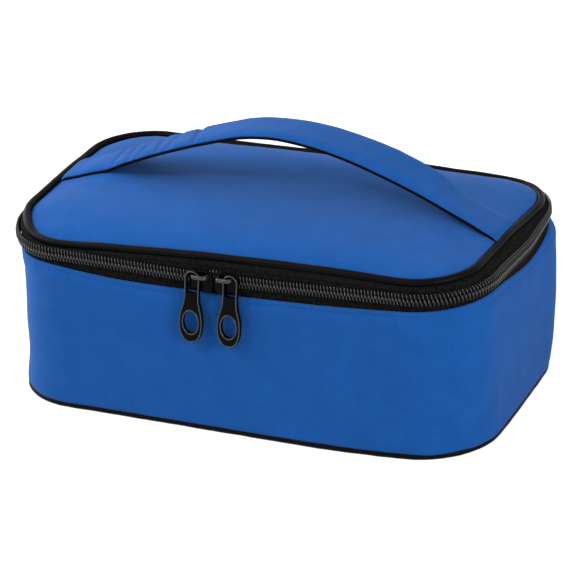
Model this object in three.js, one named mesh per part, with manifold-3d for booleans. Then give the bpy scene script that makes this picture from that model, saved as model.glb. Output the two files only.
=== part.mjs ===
// A soft cooler bag: a padded box of blue cloth with black piping, a zip lid and a padded carry handle.
// Millimetres, +Z up. X runs along the front, the front faces -Y, and Z is 0 where the bag stands.
// Lengths across the walls are offsets outward from the base seam's outline.

import * as THREE from "three";
import Module from "manifold-3d";
import { mergeVertices } from "three/addons/utils/BufferGeometryUtils.js";

const wasm = await Module();
wasm.setup();

// Driving dimensions: the outline of the base seam
const bagWidth = 250;
const bagDepth = 136;
const cornerRadius = 32;
const seatGap = 0.3;

// Driving dimensions: the base
const basePipingDiameter = 3.6;
const basePipingInset = 0.6;
const basePanelThickness = 1.2;
const baseBoardThickness = 5;

// Driving dimensions: the walls, which lean out from the base and stand upright where the zip is sewn in
const clothThickness = 1.0;
const wallBottomOffset = -0.2;
const wallMiddleOffset = 2.6;
const wallMiddleHeight = 40;
const wallTopOffset = 3.8;
const wallFlareMargin = 2.3;
const hemBelowZip = 5;
const hemSag = 4.9;
const hemSagHalfWidth = 105;
const foamThickness = 5;
const foamToSliderGap = 2.7;
const linerThickness = 0.8;

// Driving dimensions: the zip, lowest where its two sliders meet
const zipHeight = 86.2;
const zipSag = 2.5;
const zipMeetX = -4.8;
const rowGap = 1.4;
const coilHeight = 2.6;
const coilDepth = 2.3;
const tapeThickness = 0.6;
const tapeBehindHem = 7;
const tapeUprightHeight = 4.0;
const zipEndX = 85;
const zipStopLength = 2.4;

// Driving dimensions: the lid
const lidPipingDiameter = 4.0;
const lidPipingInset = 1.2;
const lidPipingAboveZip = 7.6;
const lidPanelThickness = 0.8;
const lidEdgeRise = 0.6;
const lidCrown = 7.5;
const lidFoamThickness = 4.5;
const lidLinerThickness = 0.6;
const bindingHeight = 2.8;
const bindingInset = 3.3;
const lidBindingInset = 0.9;

// Driving dimensions: the carry handle, a strap that lies on the lid at both ends and arches over it between
const handleWidth = 25;
const handleLeftY = 8.2;
const handleRightY = 0;
const handleSewnX = 103;
const handleCutX = 80;
const handleCutGap = 0.5;
const handleCrownX = 2;
const handleCrownRise = 39.3;
const handleLeftSlope = 0.36;
const handleRightSlope = -0.52;
const handleClothThickness = 0.8;
const handlePadThickness = 1.2;

// Driving dimensions: the zip sliders
const sliderLength = 13;
const sliderSpacing = 13.4;
const wingThickness = 1.2;
const innerWingThickness = 0.9;
const wingRise = 5.4;
const wingDrop = 6.6;
const wingTaper = 1.4;
const wingNoseRound = 3.2;
const wingTailRound = 1.8;
const innerWingRise = 3.6;
const innerWingDrop = 5.0;
const wingClearance = 0.45;
const wingEndMargin = 0.5;
const lipThickness = 1.2;
const lipEndMargin = 2.5;
const bridgeLength = 8.6;
const bridgeThickness = 1.2;
const bridgeLegLength = 1.4;
const bridgeHeight = 2.0;
const bridgeRise = 2.6;

// Driving dimensions: the pull tabs
const pullLength = 39.7;
const pullWidth = 13;
const pullThickness = 2.0;
const ringWidth = 8.5;
const ringBar = 1.4;
const ringTopBar = 1.5;
const ringHoleLength = 9.6;
const ringHoleCorner = 0.8;
const neckDepth = 14;
const neckFlare = 6;
const widestFlare = 7;
const toeFlare = 6.4;
const toeHalfWidth = 4.4;
const pullWidestDepth = 29;
const ovalHoleWidth = 7.4;
const ovalHoleLength = 11.8;
const ovalHoleDepth = 28.5;
const pullHangDepth = 3.0;
const pullLean = 6;

// Facets
const cornerSteps = 6;
const frontSteps = 8;
const pipingSides = 8;
const archSteps = 26;
const archEndSteps = 5;
const domeShares = [0.4, 0.66, 0.82, 0.92, 0.97, 1];
const domePower = 5;

// Worked out from the driving dimensions
const halfWidth = bagWidth / 2;
const halfDepth = bagDepth / 2;
const straightX = halfWidth - cornerRadius;
const straightY = halfDepth - cornerRadius;
const basePipingRadius = basePipingDiameter / 2;
const lidPipingRadius = lidPipingDiameter / 2;
const basePanelInset = basePipingInset + basePipingRadius + seatGap;
const baseBoardBottom = basePanelThickness + seatGap;
const foamBottom = baseBoardBottom + baseBoardThickness + seatGap;
const wallBottom = basePipingDiameter + seatGap;
const tapeOuter = wallTopOffset - clothThickness - seatGap;
const tapeInner = tapeOuter - tapeThickness;
const hemHeight = zipHeight - hemBelowZip;
const tapeBottom = hemHeight - hemSag - tapeBehindHem;
const foamTopHeight = zipHeight - zipSag - innerWingDrop - foamToSliderGap;
const wallFlareEnd = tapeBottom - wallFlareMargin;
const coilOuter = tapeOuter + seatGap + coilDepth;
const wingInnerFace = coilOuter + seatGap;
const innerWingOuterFace = tapeInner - wingClearance;
const innerWingInnerFace = innerWingOuterFace - innerWingThickness;
const bindingOuter = innerWingInnerFace - seatGap;
const lidPipingHeight = zipHeight + lidPipingAboveZip;
const lidPanelInset = lidPipingInset + lidPipingRadius + seatGap;
const lidPanelBottom = lidPipingHeight + lidEdgeRise;
const lidPanelTop = lidPanelBottom + lidPanelThickness;
const lidFoamTop = lidPanelBottom - seatGap;
const lidFoamBottom = lidFoamTop - lidFoamThickness;
const lidLinerBottom = lidFoamBottom - seatGap - lidLinerThickness;
const handleEndX = halfWidth - lidPanelInset;
const handleSkew = (handleRightY - handleLeftY) / (2 * handleEndX);
const handleThickness = 2 * handleClothThickness + handlePadThickness + 2 * seatGap;
const lidBindingTop = lidPipingHeight - lidPipingRadius - seatGap;
const pullPlane = wingInnerFace + wingThickness + seatGap;

// Finishes as seen in daylight
const blueCloth = { color: 0x2a5ca6, roughness: 0.8, metalness: 0 };
const blackCloth = { color: 0x26262a, roughness: 0.85, metalness: 0 };
const blackPiping = { color: 0x151517, roughness: 0.45, metalness: 0 };
const blackCoil = { color: 0x1a1a1c, roughness: 0.5, metalness: 0 };
const blackCasting = { color: 0x0c0c0e, roughness: 0.2, metalness: 0.6 };
const greyFoam = { color: 0xd8d8d4, roughness: 0.95, metalness: 0 };
const silverLiner = { color: 0xc9ccd0, roughness: 0.35, metalness: 0.5 };

const bag = new THREE.Group();

function addPiece(name, geometry, finish, parent = bag) {
  const piece = new THREE.Mesh(geometry, new THREE.MeshStandardMaterial(finish));
  piece.name = name;
  parent.add(piece);
}

// The outline, as stations that run anticlockwise seen from above, each with its outward normal

function cornerStations(centreX, centreY, startAngle) {
  const stations = [];
  for (let step = 0; step <= cornerSteps; step += 1) {
    const angle = startAngle + (Math.PI / 2) * (step / cornerSteps);
    const nx = Math.cos(angle);
    const ny = Math.sin(angle);
    stations.push({ x: centreX + cornerRadius * nx, y: centreY + cornerRadius * ny, nx, ny });
  }
  return stations;
}

function frontStations() {
  const stations = [];
  for (const [from, to] of [[-straightX, zipMeetX], [zipMeetX, straightX]]) {
    for (let step = 1; step <= frontSteps / 2; step += 1) {
      stations.push({ x: from + (to - from) * (2 * step / frontSteps), y: -halfDepth, nx: 0, ny: -1 });
    }
  }
  return stations.slice(0, -1);
}

function backStation(x) {
  return { x, y: halfDepth, nx: 0, ny: 1 };
}

// From the back's left end, round by the front, to the back's right end
const wrapStations = [
  ...cornerStations(-straightX, straightY, Math.PI / 2),
  ...cornerStations(-straightX, -straightY, Math.PI),
  ...frontStations(),
  ...cornerStations(straightX, -straightY, -Math.PI / 2),
  ...cornerStations(straightX, straightY, 0),
];
const zipStations = [backStation(-zipEndX), ...wrapStations, backStation(zipEndX)];
const backPanelStations = [backStation(straightX - seatGap), backStation(seatGap - straightX)];
const hingeStations = [backStation(zipEndX - seatGap), backStation(seatGap - zipEndX)];

function isFront(station) {
  return station.y < -straightY;
}

function hemAt(station) {
  const share = Math.min(Math.abs(station.x) / hemSagHalfWidth, 1);
  return isFront(station) ? hemHeight - hemSag * (1 - share ** 4) : hemHeight;
}

function zipLineAt(x) {
  const run = straightX + Math.sign(x - zipMeetX) * -zipMeetX;
  return zipHeight - zipSag * Math.max(0, 1 - Math.abs(x - zipMeetX) / run);
}

function zipAt(station) {
  return station.ny < -0.999 ? zipLineAt(station.x) : zipHeight;
}

// Solids swept along stations
// A profile lists [offset, height] points, anticlockwise where offsets run to the right.

function point(station, offset, height) {
  return [station.x + station.nx * offset, station.y + station.ny * offset, height];
}

function bodyFrom(positions, triangles) {
  const geometry = new THREE.BufferGeometry();
  geometry.setAttribute("position", new THREE.Float32BufferAttribute(positions.flat(), 3));
  geometry.setIndex(triangles.flat());
  geometry.computeVertexNormals();
  return geometry;
}

function sweep(stations, profileAt, closed = false) {
  const profiles = stations.map(profileAt);
  const sides = profiles[0].length;
  const positions = profiles.flatMap((profile, at) => profile.map(([offset, height]) => (
    point(stations[at], offset, height))));
  const triangles = [];
  const spans = closed ? stations.length : stations.length - 1;
  for (let at = 0; at < spans; at += 1) {
    const next = (at + 1) % stations.length;
    for (let side = 0; side < sides; side += 1) {
      const turn = (side + 1) % sides;
      const [a, b] = [at * sides + side, at * sides + turn];
      const [c, d] = [next * sides + turn, next * sides + side];
      triangles.push([a, d, b], [b, d, c]);
    }
  }
  if (!closed) {
    const last = (stations.length - 1) * sides;
    for (const [profile, first, flip] of [[profiles[0], 0, false], [profiles.at(-1), last, true]]) {
      const outline = profile.map(([offset, height]) => new THREE.Vector2(offset, height));
      for (const [i, j, k] of THREE.ShapeUtils.triangulateShape(outline, [])) {
        triangles.push(flip ? [first + i, first + k, first + j] : [first + i, first + j, first + k]);
      }
    }
  }
  return bodyFrom(positions, triangles);
}

function roundProfile(centreOffset, centreHeight, radius) {
  return Array.from({ length: pipingSides }, (_, side) => {
    const angle = (2 * Math.PI * (side + 0.5)) / pipingSides;
    return [centreOffset + radius * Math.cos(angle), centreHeight + radius * Math.sin(angle)];
  });
}

// Solids stacked from rings, from the ring that closes the underside to the one that closes the top

function stack(rings) {
  const count = rings[0].length;
  const positions = rings.flat();
  const triangles = [];
  for (let level = 0; level < rings.length - 1; level += 1) {
    for (let i = 0; i < count; i += 1) {
      const j = (i + 1) % count;
      const [a, b] = [level * count + i, level * count + j];
      const [c, d] = [a + count, b + count];
      triangles.push([a, b, d], [a, d, c]);
    }
  }
  for (const [first, isTop] of [[0, false], [positions.length - count, true]]) {
    const centre = positions.length;
    positions.push([0, 0, positions[first][2]]);
    for (let i = 0; i < count; i += 1) {
      const [a, b] = [first + i, first + ((i + 1) % count)];
      triangles.push(isTop ? [centre, a, b] : [centre, b, a]);
    }
  }
  return bodyFrom(positions, triangles);
}

function ring(offset, height, share = 1) {
  return wrapStations.map((station) => {
    const [x, y] = point(station, offset, height);
    return [x * share, y * share, height];
  });
}

function domeRise(share) {
  return lidCrown * (1 - share ** domePower);
}

function domeRings(offset, edgeHeight) {
  return domeShares.map((share) => ring(offset, edgeHeight + domeRise(share), share));
}

// The base

function wallOuterAt(height) {
  const marks = [
    [wallBottom, wallBottomOffset],
    [wallMiddleHeight, wallMiddleOffset],
    [wallFlareEnd, wallTopOffset],
  ];
  if (height >= wallFlareEnd) return wallTopOffset;
  const [low, high] = height < wallMiddleHeight ? [marks[0], marks[1]] : [marks[1], marks[2]];
  return low[1] + ((high[1] - low[1]) * (height - low[0])) / (high[0] - low[0]);
}

function buildBase() {
  const slab = (bottom, thickness) => stack([bottom, bottom + thickness].map((height) => (
    ring(-basePanelInset, height))));
  addPiece("base_panel", slab(0, basePanelThickness), blueCloth);
  addPiece("base_board", slab(baseBoardBottom, baseBoardThickness), greyFoam);
  const flatRadius = basePipingRadius / Math.cos(Math.PI / pipingSides);
  const piping = () => roundProfile(-basePipingInset, basePipingRadius, flatRadius);
  addPiece("base_piping", sweep(wrapStations, piping, true), blackPiping);
}

// The walls: cloth outside, foam behind it, and a liner tub inside

function leaningProfile(outerShift, thickness, bottom, top) {
  const heights = [bottom, wallMiddleHeight, wallFlareEnd, top];
  const outer = heights.map((height) => [wallOuterAt(height) - outerShift, height]);
  const inner = heights.map((height) => [wallOuterAt(height) - outerShift - thickness, height]);
  return [...outer, ...inner.reverse()];
}

function foamProfile() {
  const outerShift = clothThickness + seatGap;
  const stepHeight = tapeBottom - seatGap;
  const lower = [foamBottom, wallMiddleHeight, wallFlareEnd];
  const outer = [...lower, stepHeight].map((height) => [wallOuterAt(height) - outerShift, height]);
  const rebate = [stepHeight, foamTopHeight].map((height) => [tapeInner - seatGap, height]);
  const inner = [...lower, foamTopHeight].map((height) => [
    wallOuterAt(height) - outerShift - foamThickness, height]);
  return [...outer, ...rebate, ...inner.reverse()];
}

function buildWalls() {
  const cloth = (station) => leaningProfile(0, clothThickness, wallBottom, hemAt(station));
  addPiece("wall_front_sides", sweep(wrapStations, cloth), blueCloth);
  addPiece("wall_back", sweep(backPanelStations, cloth), blueCloth);
  addPiece("foam_front_sides", sweep(wrapStations, foamProfile), greyFoam);
  addPiece("foam_back", sweep(backPanelStations, foamProfile), greyFoam);
}

function buildLinerTub() {
  const shift = clothThickness + foamThickness + 2 * seatGap;
  const heights = [foamBottom, wallMiddleHeight, wallFlareEnd, foamTopHeight];
  const floorTop = foamBottom + linerThickness;
  const outer = heights.map((height) => ring(wallOuterAt(height) - shift, height));
  const inner = [foamTopHeight, wallFlareEnd, wallMiddleHeight, floorTop].map((height) => (
    ring(wallOuterAt(height) - shift - linerThickness, height)));
  addPiece("liner_tub", stack([...outer, ...inner]), silverLiner);
}

function buildRimBinding() {
  const bottom = foamTopHeight + seatGap;
  const profile = () => [
    [-bindingInset, bottom],
    [bindingOuter, bottom],
    [bindingOuter, bottom + bindingHeight],
    [-bindingInset, bottom + bindingHeight],
  ];
  addPiece("rim_binding", sweep(wrapStations, profile, true), blackCloth);
}

// The zip: a lower half on the bag and an upper half on the lid

function box(outer, inner, bottom, top) {
  return [[inner, bottom], [outer, bottom], [outer, top], [inner, top]];
}

function lidBandProfile(lower) {
  const bend = lower - rowGap / 2 + tapeUprightHeight;
  const seamAngle = -Math.PI / 4;
  const reach = lidPipingRadius / Math.cos(Math.PI / pipingSides) + seatGap;
  const endOffset = -lidPipingInset + reach * Math.cos(seamAngle);
  const endHeight = lidPipingHeight + reach * Math.sin(seamAngle);
  return [
    [tapeInner, lower],
    [tapeOuter, lower],
    [tapeOuter, bend],
    [endOffset, endHeight],
    [endOffset - tapeThickness, endHeight - tapeThickness / 2],
    [tapeInner, bend - tapeThickness / 3],
  ];
}

function buildZipHalves() {
  const lowerTape = (station) => box(tapeOuter, tapeInner, tapeBottom, zipAt(station) - rowGap / 2);
  addPiece("zip_tape_lower", sweep(zipStations, lowerTape), blackCloth);
  const upperTape = (station) => lidBandProfile(zipAt(station) + rowGap / 2);
  addPiece("zip_tape_upper", sweep(zipStations, upperTape), blackCloth);
  const coilInner = tapeOuter + seatGap;
  const row = (side) => (station) => {
    const centre = zipAt(station) + side * (rowGap / 2 + coilHeight / 2);
    return box(coilOuter, coilInner, centre - coilHeight / 2, centre + coilHeight / 2);
  };
  const rowEndX = zipEndX + zipStopLength + seatGap;
  const rowStations = [backStation(-rowEndX), ...wrapStations, backStation(rowEndX)];
  addPiece("zip_coil_lower", sweep(rowStations, row(-1)), blackCoil);
  addPiece("zip_coil_upper", sweep(rowStations, row(1)), blackCoil);
  for (const [side, name] of [[-1, "zip_stop_left"], [1, "zip_stop_right"]]) {
    const ends = [backStation(side * zipEndX), backStation(side * (zipEndX + zipStopLength))];
    addPiece(name, sweep(side < 0 ? ends : ends.reverse(), row(-1)), blackCasting);
  }
}

function buildHingeStrip() {
  const strip = () => box(tapeOuter, tapeInner, tapeBottom, zipHeight - rowGap / 2);
  addPiece("hinge_strip", sweep(hingeStations, strip), blackCloth);
  addPiece("lid_back_band", sweep(hingeStations, () => lidBandProfile(zipHeight + rowGap / 2)), blackCloth);
}

// The lid

function domedLayer(bottom, thickness) {
  const underside = domeRings(-lidPanelInset, bottom);
  return stack([...underside, ...domeRings(-lidPanelInset, bottom + thickness).reverse()]);
}

function buildLid() {
  addPiece("lid_panel", domedLayer(lidPanelBottom, lidPanelThickness), blueCloth);
  addPiece("lid_foam", domedLayer(lidFoamBottom, lidFoamThickness), greyFoam);
  addPiece("lid_liner", domedLayer(lidLinerBottom, lidLinerThickness), silverLiner);
  const piping = () => roundProfile(-lidPipingInset, lidPipingHeight, lidPipingRadius);
  addPiece("lid_piping", sweep(wrapStations, piping, true), blackPiping);
  const bindingInner = seatGap - lidPanelInset;
  const binding = () => box(-lidBindingInset, bindingInner, lidBindingTop - bindingHeight, lidBindingTop);
  addPiece("lid_rim_binding", sweep(wrapStations, binding, true), blackCloth);
}

// The handle: cloth over a pad over a backing, cut where the free arch leaves its sewn ends

function hermite(t, from, to, fromSlope, toSlope, span) {
  return (2 * t ** 3 - 3 * t ** 2 + 1) * from
    + (t ** 3 - 2 * t ** 2 + t) * span * fromSlope
    + (3 * t ** 2 - 2 * t ** 3) * to
    + (t ** 3 - t ** 2) * span * toSlope;
}

// The height of the strap's middle surface
function strapHeight(x) {
  const onLid = (at) => (
    lidPanelTop + domeRise(Math.abs(at) / handleEndX) + seatGap + handleThickness / 2);
  if (Math.abs(x) >= handleSewnX) return onLid(x);
  const crown = lidPanelTop + handleCrownRise;
  const sewn = onLid(handleSewnX);
  if (x < handleCrownX) {
    const span = handleCrownX + handleSewnX;
    return hermite((x + handleSewnX) / span, sewn, crown, handleLeftSlope, 0, span);
  }
  const span = handleSewnX - handleCrownX;
  return hermite((x - handleCrownX) / span, crown, sewn, 0, handleRightSlope, span);
}

function spread(from, to, steps) {
  return Array.from({ length: steps + 1 }, (_, step) => from + ((to - from) * step) / steps);
}

// A layer of the strap through the given X positions, between two distances from its middle surface
function strapLayer(places, low, high) {
  const outlineAt = (distance) => places.map((x) => {
    const slope = strapHeight(x + 0.5) - strapHeight(x - 0.5);
    return new THREE.Vector2(x, strapHeight(x) + distance * Math.hypot(1, slope));
  });
  const outline = new THREE.Shape([...outlineAt(low), ...outlineAt(high).reverse()]);
  const options = { depth: handleWidth, bevelEnabled: false, steps: 1 };
  const geometry = new THREE.ExtrudeGeometry(outline, options);
  geometry.rotateX(Math.PI / 2);
  geometry.translate(0, (handleLeftY + handleRightY + handleWidth) / 2, 0);
  geometry.applyMatrix4(new THREE.Matrix4().makeShear(handleSkew, 0, 0, 0, 0, 0));
  return geometry;
}

function buildHandle() {
  const padHalf = handlePadThickness / 2;
  const clothLow = padHalf + seatGap;
  const clothHigh = clothLow + handleClothThickness;
  const freeX = handleCutX - handleCutGap;
  const arch = spread(-freeX, freeX, archSteps);
  addPiece("handle_cover", strapLayer(arch, clothLow, clothHigh), blueCloth);
  addPiece("handle_padding", strapLayer(arch, -padHalf, padHalf), greyFoam);
  addPiece("handle_backing", strapLayer(arch, -clothHigh, -clothLow), blackCloth);
  const rising = spread(handleCutX, handleSewnX, archEndSteps);
  const flat = spread(handleSewnX, handleEndX, archEndSteps).slice(1);
  for (const [side, name] of [[-1, "left"], [1, "right"]]) {
    const places = [...rising, ...flat].map((x) => side * x).sort((a, b) => a - b);
    addPiece(`handle_end_${name}`, strapLayer(places, -padHalf, clothHigh), blueCloth);
    const backing = strapLayer(places, -clothHigh, -clothLow);
    addPiece(`handle_end_backing_${name}`, backing, blackCloth);
  }
}

// The sliders, in their own frame: X along the zip, -Y out of the bag, Z 0 on the zip's line

function toSolid(geometry) {
  const merged = geometry.clone();
  merged.deleteAttribute("normal");
  merged.deleteAttribute("uv");
  const welded = mergeVertices(merged);
  return new wasm.Manifold(new wasm.Mesh({
    numProp: 3,
    vertProperties: welded.attributes.position.array,
    triVerts: Uint32Array.from(welded.index.array),
  }));
}

function toGeometry(solid) {
  const mesh = solid.getMesh();
  const geometry = new THREE.BufferGeometry();
  geometry.setAttribute("position", new THREE.Float32BufferAttribute(mesh.vertProperties, 3));
  geometry.setIndex([...mesh.triVerts]);
  geometry.computeVertexNormals();
  return geometry;
}

// A plate cut to an outline in X and Z, from one offset outward to another
function plate(outline, innerOffset, outerOffset) {
  const depth = outerOffset - innerOffset;
  const options = { depth, bevelEnabled: false, steps: 1, curveSegments: 6 };
  const geometry = new THREE.ExtrudeGeometry(outline, options);
  geometry.rotateX(Math.PI / 2);
  geometry.translate(0, -innerOffset, 0);
  return geometry;
}

function block(fromX, toX, innerOffset, outerOffset, bottom, top) {
  const geometry = new THREE.BoxGeometry(toX - fromX, outerOffset - innerOffset, top - bottom);
  geometry.translate((fromX + toX) / 2, -(innerOffset + outerOffset) / 2, (bottom + top) / 2);
  return geometry;
}

// A slider's wing: full height at the nose, which faces the other slider, and narrower at the tail
function wingOutline(nose, rise, drop) {
  const half = (nose * sliderLength) / 2;
  const noseStart = half - nose * wingNoseRound;
  const tailStart = -half + nose * wingTailRound;
  const [tailRise, tailDrop] = [rise - wingTaper, drop - wingTaper];
  const shape = new THREE.Shape();
  shape.moveTo(-half, -tailDrop + wingTailRound);
  shape.quadraticCurveTo(-half, -tailDrop, tailStart, -tailDrop);
  shape.lineTo(noseStart, -drop);
  shape.quadraticCurveTo(half, -drop, half, -drop + wingNoseRound);
  shape.lineTo(half, rise - wingNoseRound);
  shape.quadraticCurveTo(half, rise, noseStart, rise);
  shape.lineTo(tailStart, tailRise);
  shape.quadraticCurveTo(-half, tailRise, -half, tailRise - wingTailRound);
  shape.closePath();
  return shape;
}

function bridgeOutline(foot, opening, top) {
  const half = bridgeLength / 2;
  const inner = half - bridgeLegLength;
  const round = bridgeThickness;
  const shape = new THREE.Shape();
  shape.moveTo(-half, foot);
  shape.lineTo(-inner, foot);
  shape.lineTo(-inner, opening);
  shape.lineTo(inner, opening);
  shape.lineTo(inner, foot);
  shape.lineTo(half, foot);
  shape.lineTo(half, top - round);
  shape.quadraticCurveTo(half, top, half - round, top);
  shape.lineTo(-half + round, top);
  shape.quadraticCurveTo(-half, top, -half, top - round);
  shape.closePath();
  return shape;
}

function sliderGeometry(nose) {
  const wingOuterFace = wingInnerFace + wingThickness;
  const wingMiddle = wingInnerFace + wingThickness / 2;
  const pillarEnd = nose * (sliderLength / 2 - wingEndMargin);
  const pillarInner = innerWingInnerFace + innerWingThickness / 2;
  const pillarHalf = rowGap / 2 - seatGap;
  const lipHalf = sliderLength / 2 - lipEndMargin;
  const lipTop = -(rowGap / 2 + coilHeight + seatGap);
  const opening = pullPlane + pullThickness + seatGap;
  const bridge = new THREE.ExtrudeGeometry(
    bridgeOutline(wingMiddle, opening, opening + bridgeThickness),
    { depth: bridgeHeight, bevelEnabled: false, steps: 1, curveSegments: 4 },
  );
  bridge.rotateX(Math.PI);
  bridge.translate(0, 0, bridgeRise + bridgeHeight / 2);
  const pieces = [
    plate(wingOutline(nose, wingRise, wingDrop), wingInnerFace, wingOuterFace),
    plate(wingOutline(nose, innerWingRise, innerWingDrop), innerWingInnerFace, innerWingOuterFace),
    block(Math.min(0, pillarEnd), Math.max(0, pillarEnd), pillarInner, wingMiddle, -pillarHalf, pillarHalf),
    block(-lipHalf, lipHalf, tapeOuter + seatGap, wingMiddle, lipTop - lipThickness, lipTop),
    bridge,
  ];
  return toGeometry(pieces.map(toSolid).reduce((joined, piece) => joined.add(piece)));
}

// A pull tab in its own frame: hung from the origin, which lies in its ring

function pullOutline() {
  const top = pullHangDepth;
  const ringRadius = ringWidth / 2;
  const widestHalf = pullWidth / 2;
  const widest = top - pullWidestDepth;
  const bottom = top - pullLength;
  const neck = top - neckDepth;
  const shape = new THREE.Shape();
  shape.moveTo(ringRadius, top - ringRadius);
  shape.absarc(0, top - ringRadius, ringRadius, 0, Math.PI, false);
  shape.lineTo(-ringRadius, neck);
  const neckEnd = neck - neckFlare;
  shape.bezierCurveTo(-ringRadius, neckEnd, -widestHalf, widest + widestFlare, -widestHalf, widest);
  shape.bezierCurveTo(-widestHalf, widest - toeFlare, -toeHalfWidth, bottom, 0, bottom);
  shape.bezierCurveTo(toeHalfWidth, bottom, widestHalf, widest - toeFlare, widestHalf, widest);
  shape.bezierCurveTo(widestHalf, widest + widestFlare, ringRadius, neckEnd, ringRadius, neck);
  shape.closePath();
  return shape;
}

function ringHole() {
  const holeHalf = ringWidth / 2 - ringBar;
  const holeTop = pullHangDepth - ringTopBar;
  const holeBottom = holeTop - ringHoleLength;
  const hole = new THREE.Path();
  hole.moveTo(holeHalf, holeTop - holeHalf);
  hole.absarc(0, holeTop - holeHalf, holeHalf, 0, Math.PI, false);
  hole.lineTo(-holeHalf, holeBottom + ringHoleCorner);
  hole.lineTo(-holeHalf + ringHoleCorner, holeBottom);
  hole.lineTo(holeHalf - ringHoleCorner, holeBottom);
  hole.lineTo(holeHalf, holeBottom + ringHoleCorner);
  hole.closePath();
  return hole;
}

function ovalHole() {
  const hole = new THREE.Path();
  hole.absellipse(0, pullHangDepth - ovalHoleDepth, ovalHoleWidth / 2, ovalHoleLength / 2, 0, 2 * Math.PI);
  return hole;
}

function pullGeometry() {
  const outline = pullOutline();
  outline.holes.push(ringHole(), ovalHole());
  return plate(outline, 0, pullThickness);
}

function buildSliders() {
  const legOffset = bridgeLength / 2 - bridgeLegLength / 2;
  for (const [side, name] of [[-1, "left"], [1, "right"]]) {
    const x = zipMeetX + (side * sliderSpacing) / 2;
    const run = straightX - side * zipMeetX;
    const slope = Math.atan(zipSag / run);
    const slider = new THREE.Group();
    slider.position.set(x, -halfDepth, zipLineAt(x));
    slider.rotation.y = -side * slope;
    addPiece(`slider_${name}`, sliderGeometry(-side), blackCasting, slider);
    const hanger = new THREE.Group();
    hanger.position.set(side * legOffset, -pullPlane, bridgeRise);
    hanger.rotation.y = THREE.MathUtils.degToRad(pullLean) + side * slope;
    addPiece(`pull_${name}`, pullGeometry(), blackCasting, hanger);
    slider.add(hanger);
    bag.add(slider);
  }
}

buildBase();
buildWalls();
buildLinerTub();
buildRimBinding();
buildZipHalves();
buildHingeStrip();
buildLid();
buildHandle();
buildSliders();

export default bag;
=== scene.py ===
"""A soft cooler bag: a padded box of blue cloth with black piping, a zip lid and a carry handle.

Shapes are worked out in millimetres and made into meshes in metres. X runs along the front, the front
faces -Y and Z is 0 where the bag stands. Lengths across the walls are offsets outward from the outline
of the base seam, and lengths along them start at the middle of the back and run anticlockwise seen from
above.
"""

import logging
import math
from collections.abc import Callable
from dataclasses import dataclass
from enum import Enum

import bmesh
import bpy
import numpy as np
from mathutils import Matrix, Vector
from mathutils.geometry import tessellate_polygon


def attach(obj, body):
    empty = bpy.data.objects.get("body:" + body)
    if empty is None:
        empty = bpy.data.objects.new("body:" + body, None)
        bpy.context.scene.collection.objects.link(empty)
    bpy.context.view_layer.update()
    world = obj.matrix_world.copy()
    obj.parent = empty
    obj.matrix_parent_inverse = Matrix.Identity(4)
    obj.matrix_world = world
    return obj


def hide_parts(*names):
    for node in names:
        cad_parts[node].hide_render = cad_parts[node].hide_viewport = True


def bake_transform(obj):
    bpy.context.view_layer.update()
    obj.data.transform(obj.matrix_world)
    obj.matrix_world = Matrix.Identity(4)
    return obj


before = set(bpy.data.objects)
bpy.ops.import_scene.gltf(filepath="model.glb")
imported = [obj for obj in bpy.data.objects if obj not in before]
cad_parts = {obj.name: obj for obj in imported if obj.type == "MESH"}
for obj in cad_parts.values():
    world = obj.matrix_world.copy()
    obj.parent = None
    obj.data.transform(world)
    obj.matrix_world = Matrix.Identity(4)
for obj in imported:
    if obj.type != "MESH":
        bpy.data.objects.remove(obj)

MM = 0.001
PHOTO_SIDE = 576
LOG = logging.getLogger("cooler_bag")
UP = np.array([0.0, 0.0, 1.0])
MIRROR_X = np.array([-1.0, 1.0])


class Slot(Enum):
    """The record's material slots."""

    BLUE_CLOTH = "cloth_blue"
    BLACK_CLOTH = "cloth_black"
    PIPING = "piping_black"
    COIL = "coil_black"
    CASTING = "casting_black"
    FOAM = "foam_grey"
    LINER = "liner_silver"


class Body(Enum):
    """The bodies that pieces ride on."""

    BAG = "bag_body"
    LID = "lid"
    HANDLE = "handle"
    SLIDER_LEFT = "slider_left"
    SLIDER_RIGHT = "slider_right"
    PULL_LEFT = "pull_left"
    PULL_RIGHT = "pull_right"


@dataclass(frozen=True)
class Finish:
    """A finish: its material, and the record's slot that it goes by."""

    material: bpy.types.Material
    slot: Slot


# Number helpers


def linear(hex_colour: str) -> tuple[float, float, float, float]:
    """Turn an sRGB hex colour into linear RGBA.

    Args:
        hex_colour: The colour as #rrggbb.

    Returns:
        Red, green, blue and alpha, each from 0 to 1.
    """
    parts = [int(hex_colour[at : at + 2], 16) / 255 for at in (1, 3, 5)]
    return (*(p / 12.92 if p <= 0.04045 else ((p + 0.055) / 1.055) ** 2.4 for p in parts), 1.0)


def smooth_line(at: np.ndarray, knots: tuple[tuple[float, float], ...]) -> np.ndarray:
    """Read a smooth line through knots: cubic Hermite pieces whose slopes are those of the chords.

    Args:
        at: Places to read the line at; beyond the ends it keeps the end values.
        knots: (place, value) pairs in rising order of place.

    Returns:
        The values, with the shape of at.
    """
    places, values = np.array(knots, float).T
    slopes = np.gradient(values, places)
    x = np.clip(at, places[0], places[-1])
    i = np.clip(np.searchsorted(places, x, side="right") - 1, 0, len(places) - 2)
    span = places[i + 1] - places[i]
    t = (x - places[i]) / span
    return (
        (2 * t**3 - 3 * t**2 + 1) * values[i]
        + (t**3 - 2 * t**2 + t) * span * slopes[i]
        + (3 * t**2 - 2 * t**3) * values[i + 1]
        + (t**3 - t**2) * span * slopes[i + 1]
    )


def hump(distance: np.ndarray, width: float) -> np.ndarray:
    """A bell curve of height 1: exp(-(distance / width)^2)."""
    return np.exp(-((distance / width) ** 2))


def humps(at: np.ndarray, table: tuple[tuple[float, float, float], ...]) -> np.ndarray:
    """Bell curves summed from a table of (height, middle, width)."""
    return sum(high * hump(at - middle, width) for high, middle, width in table)


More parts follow.
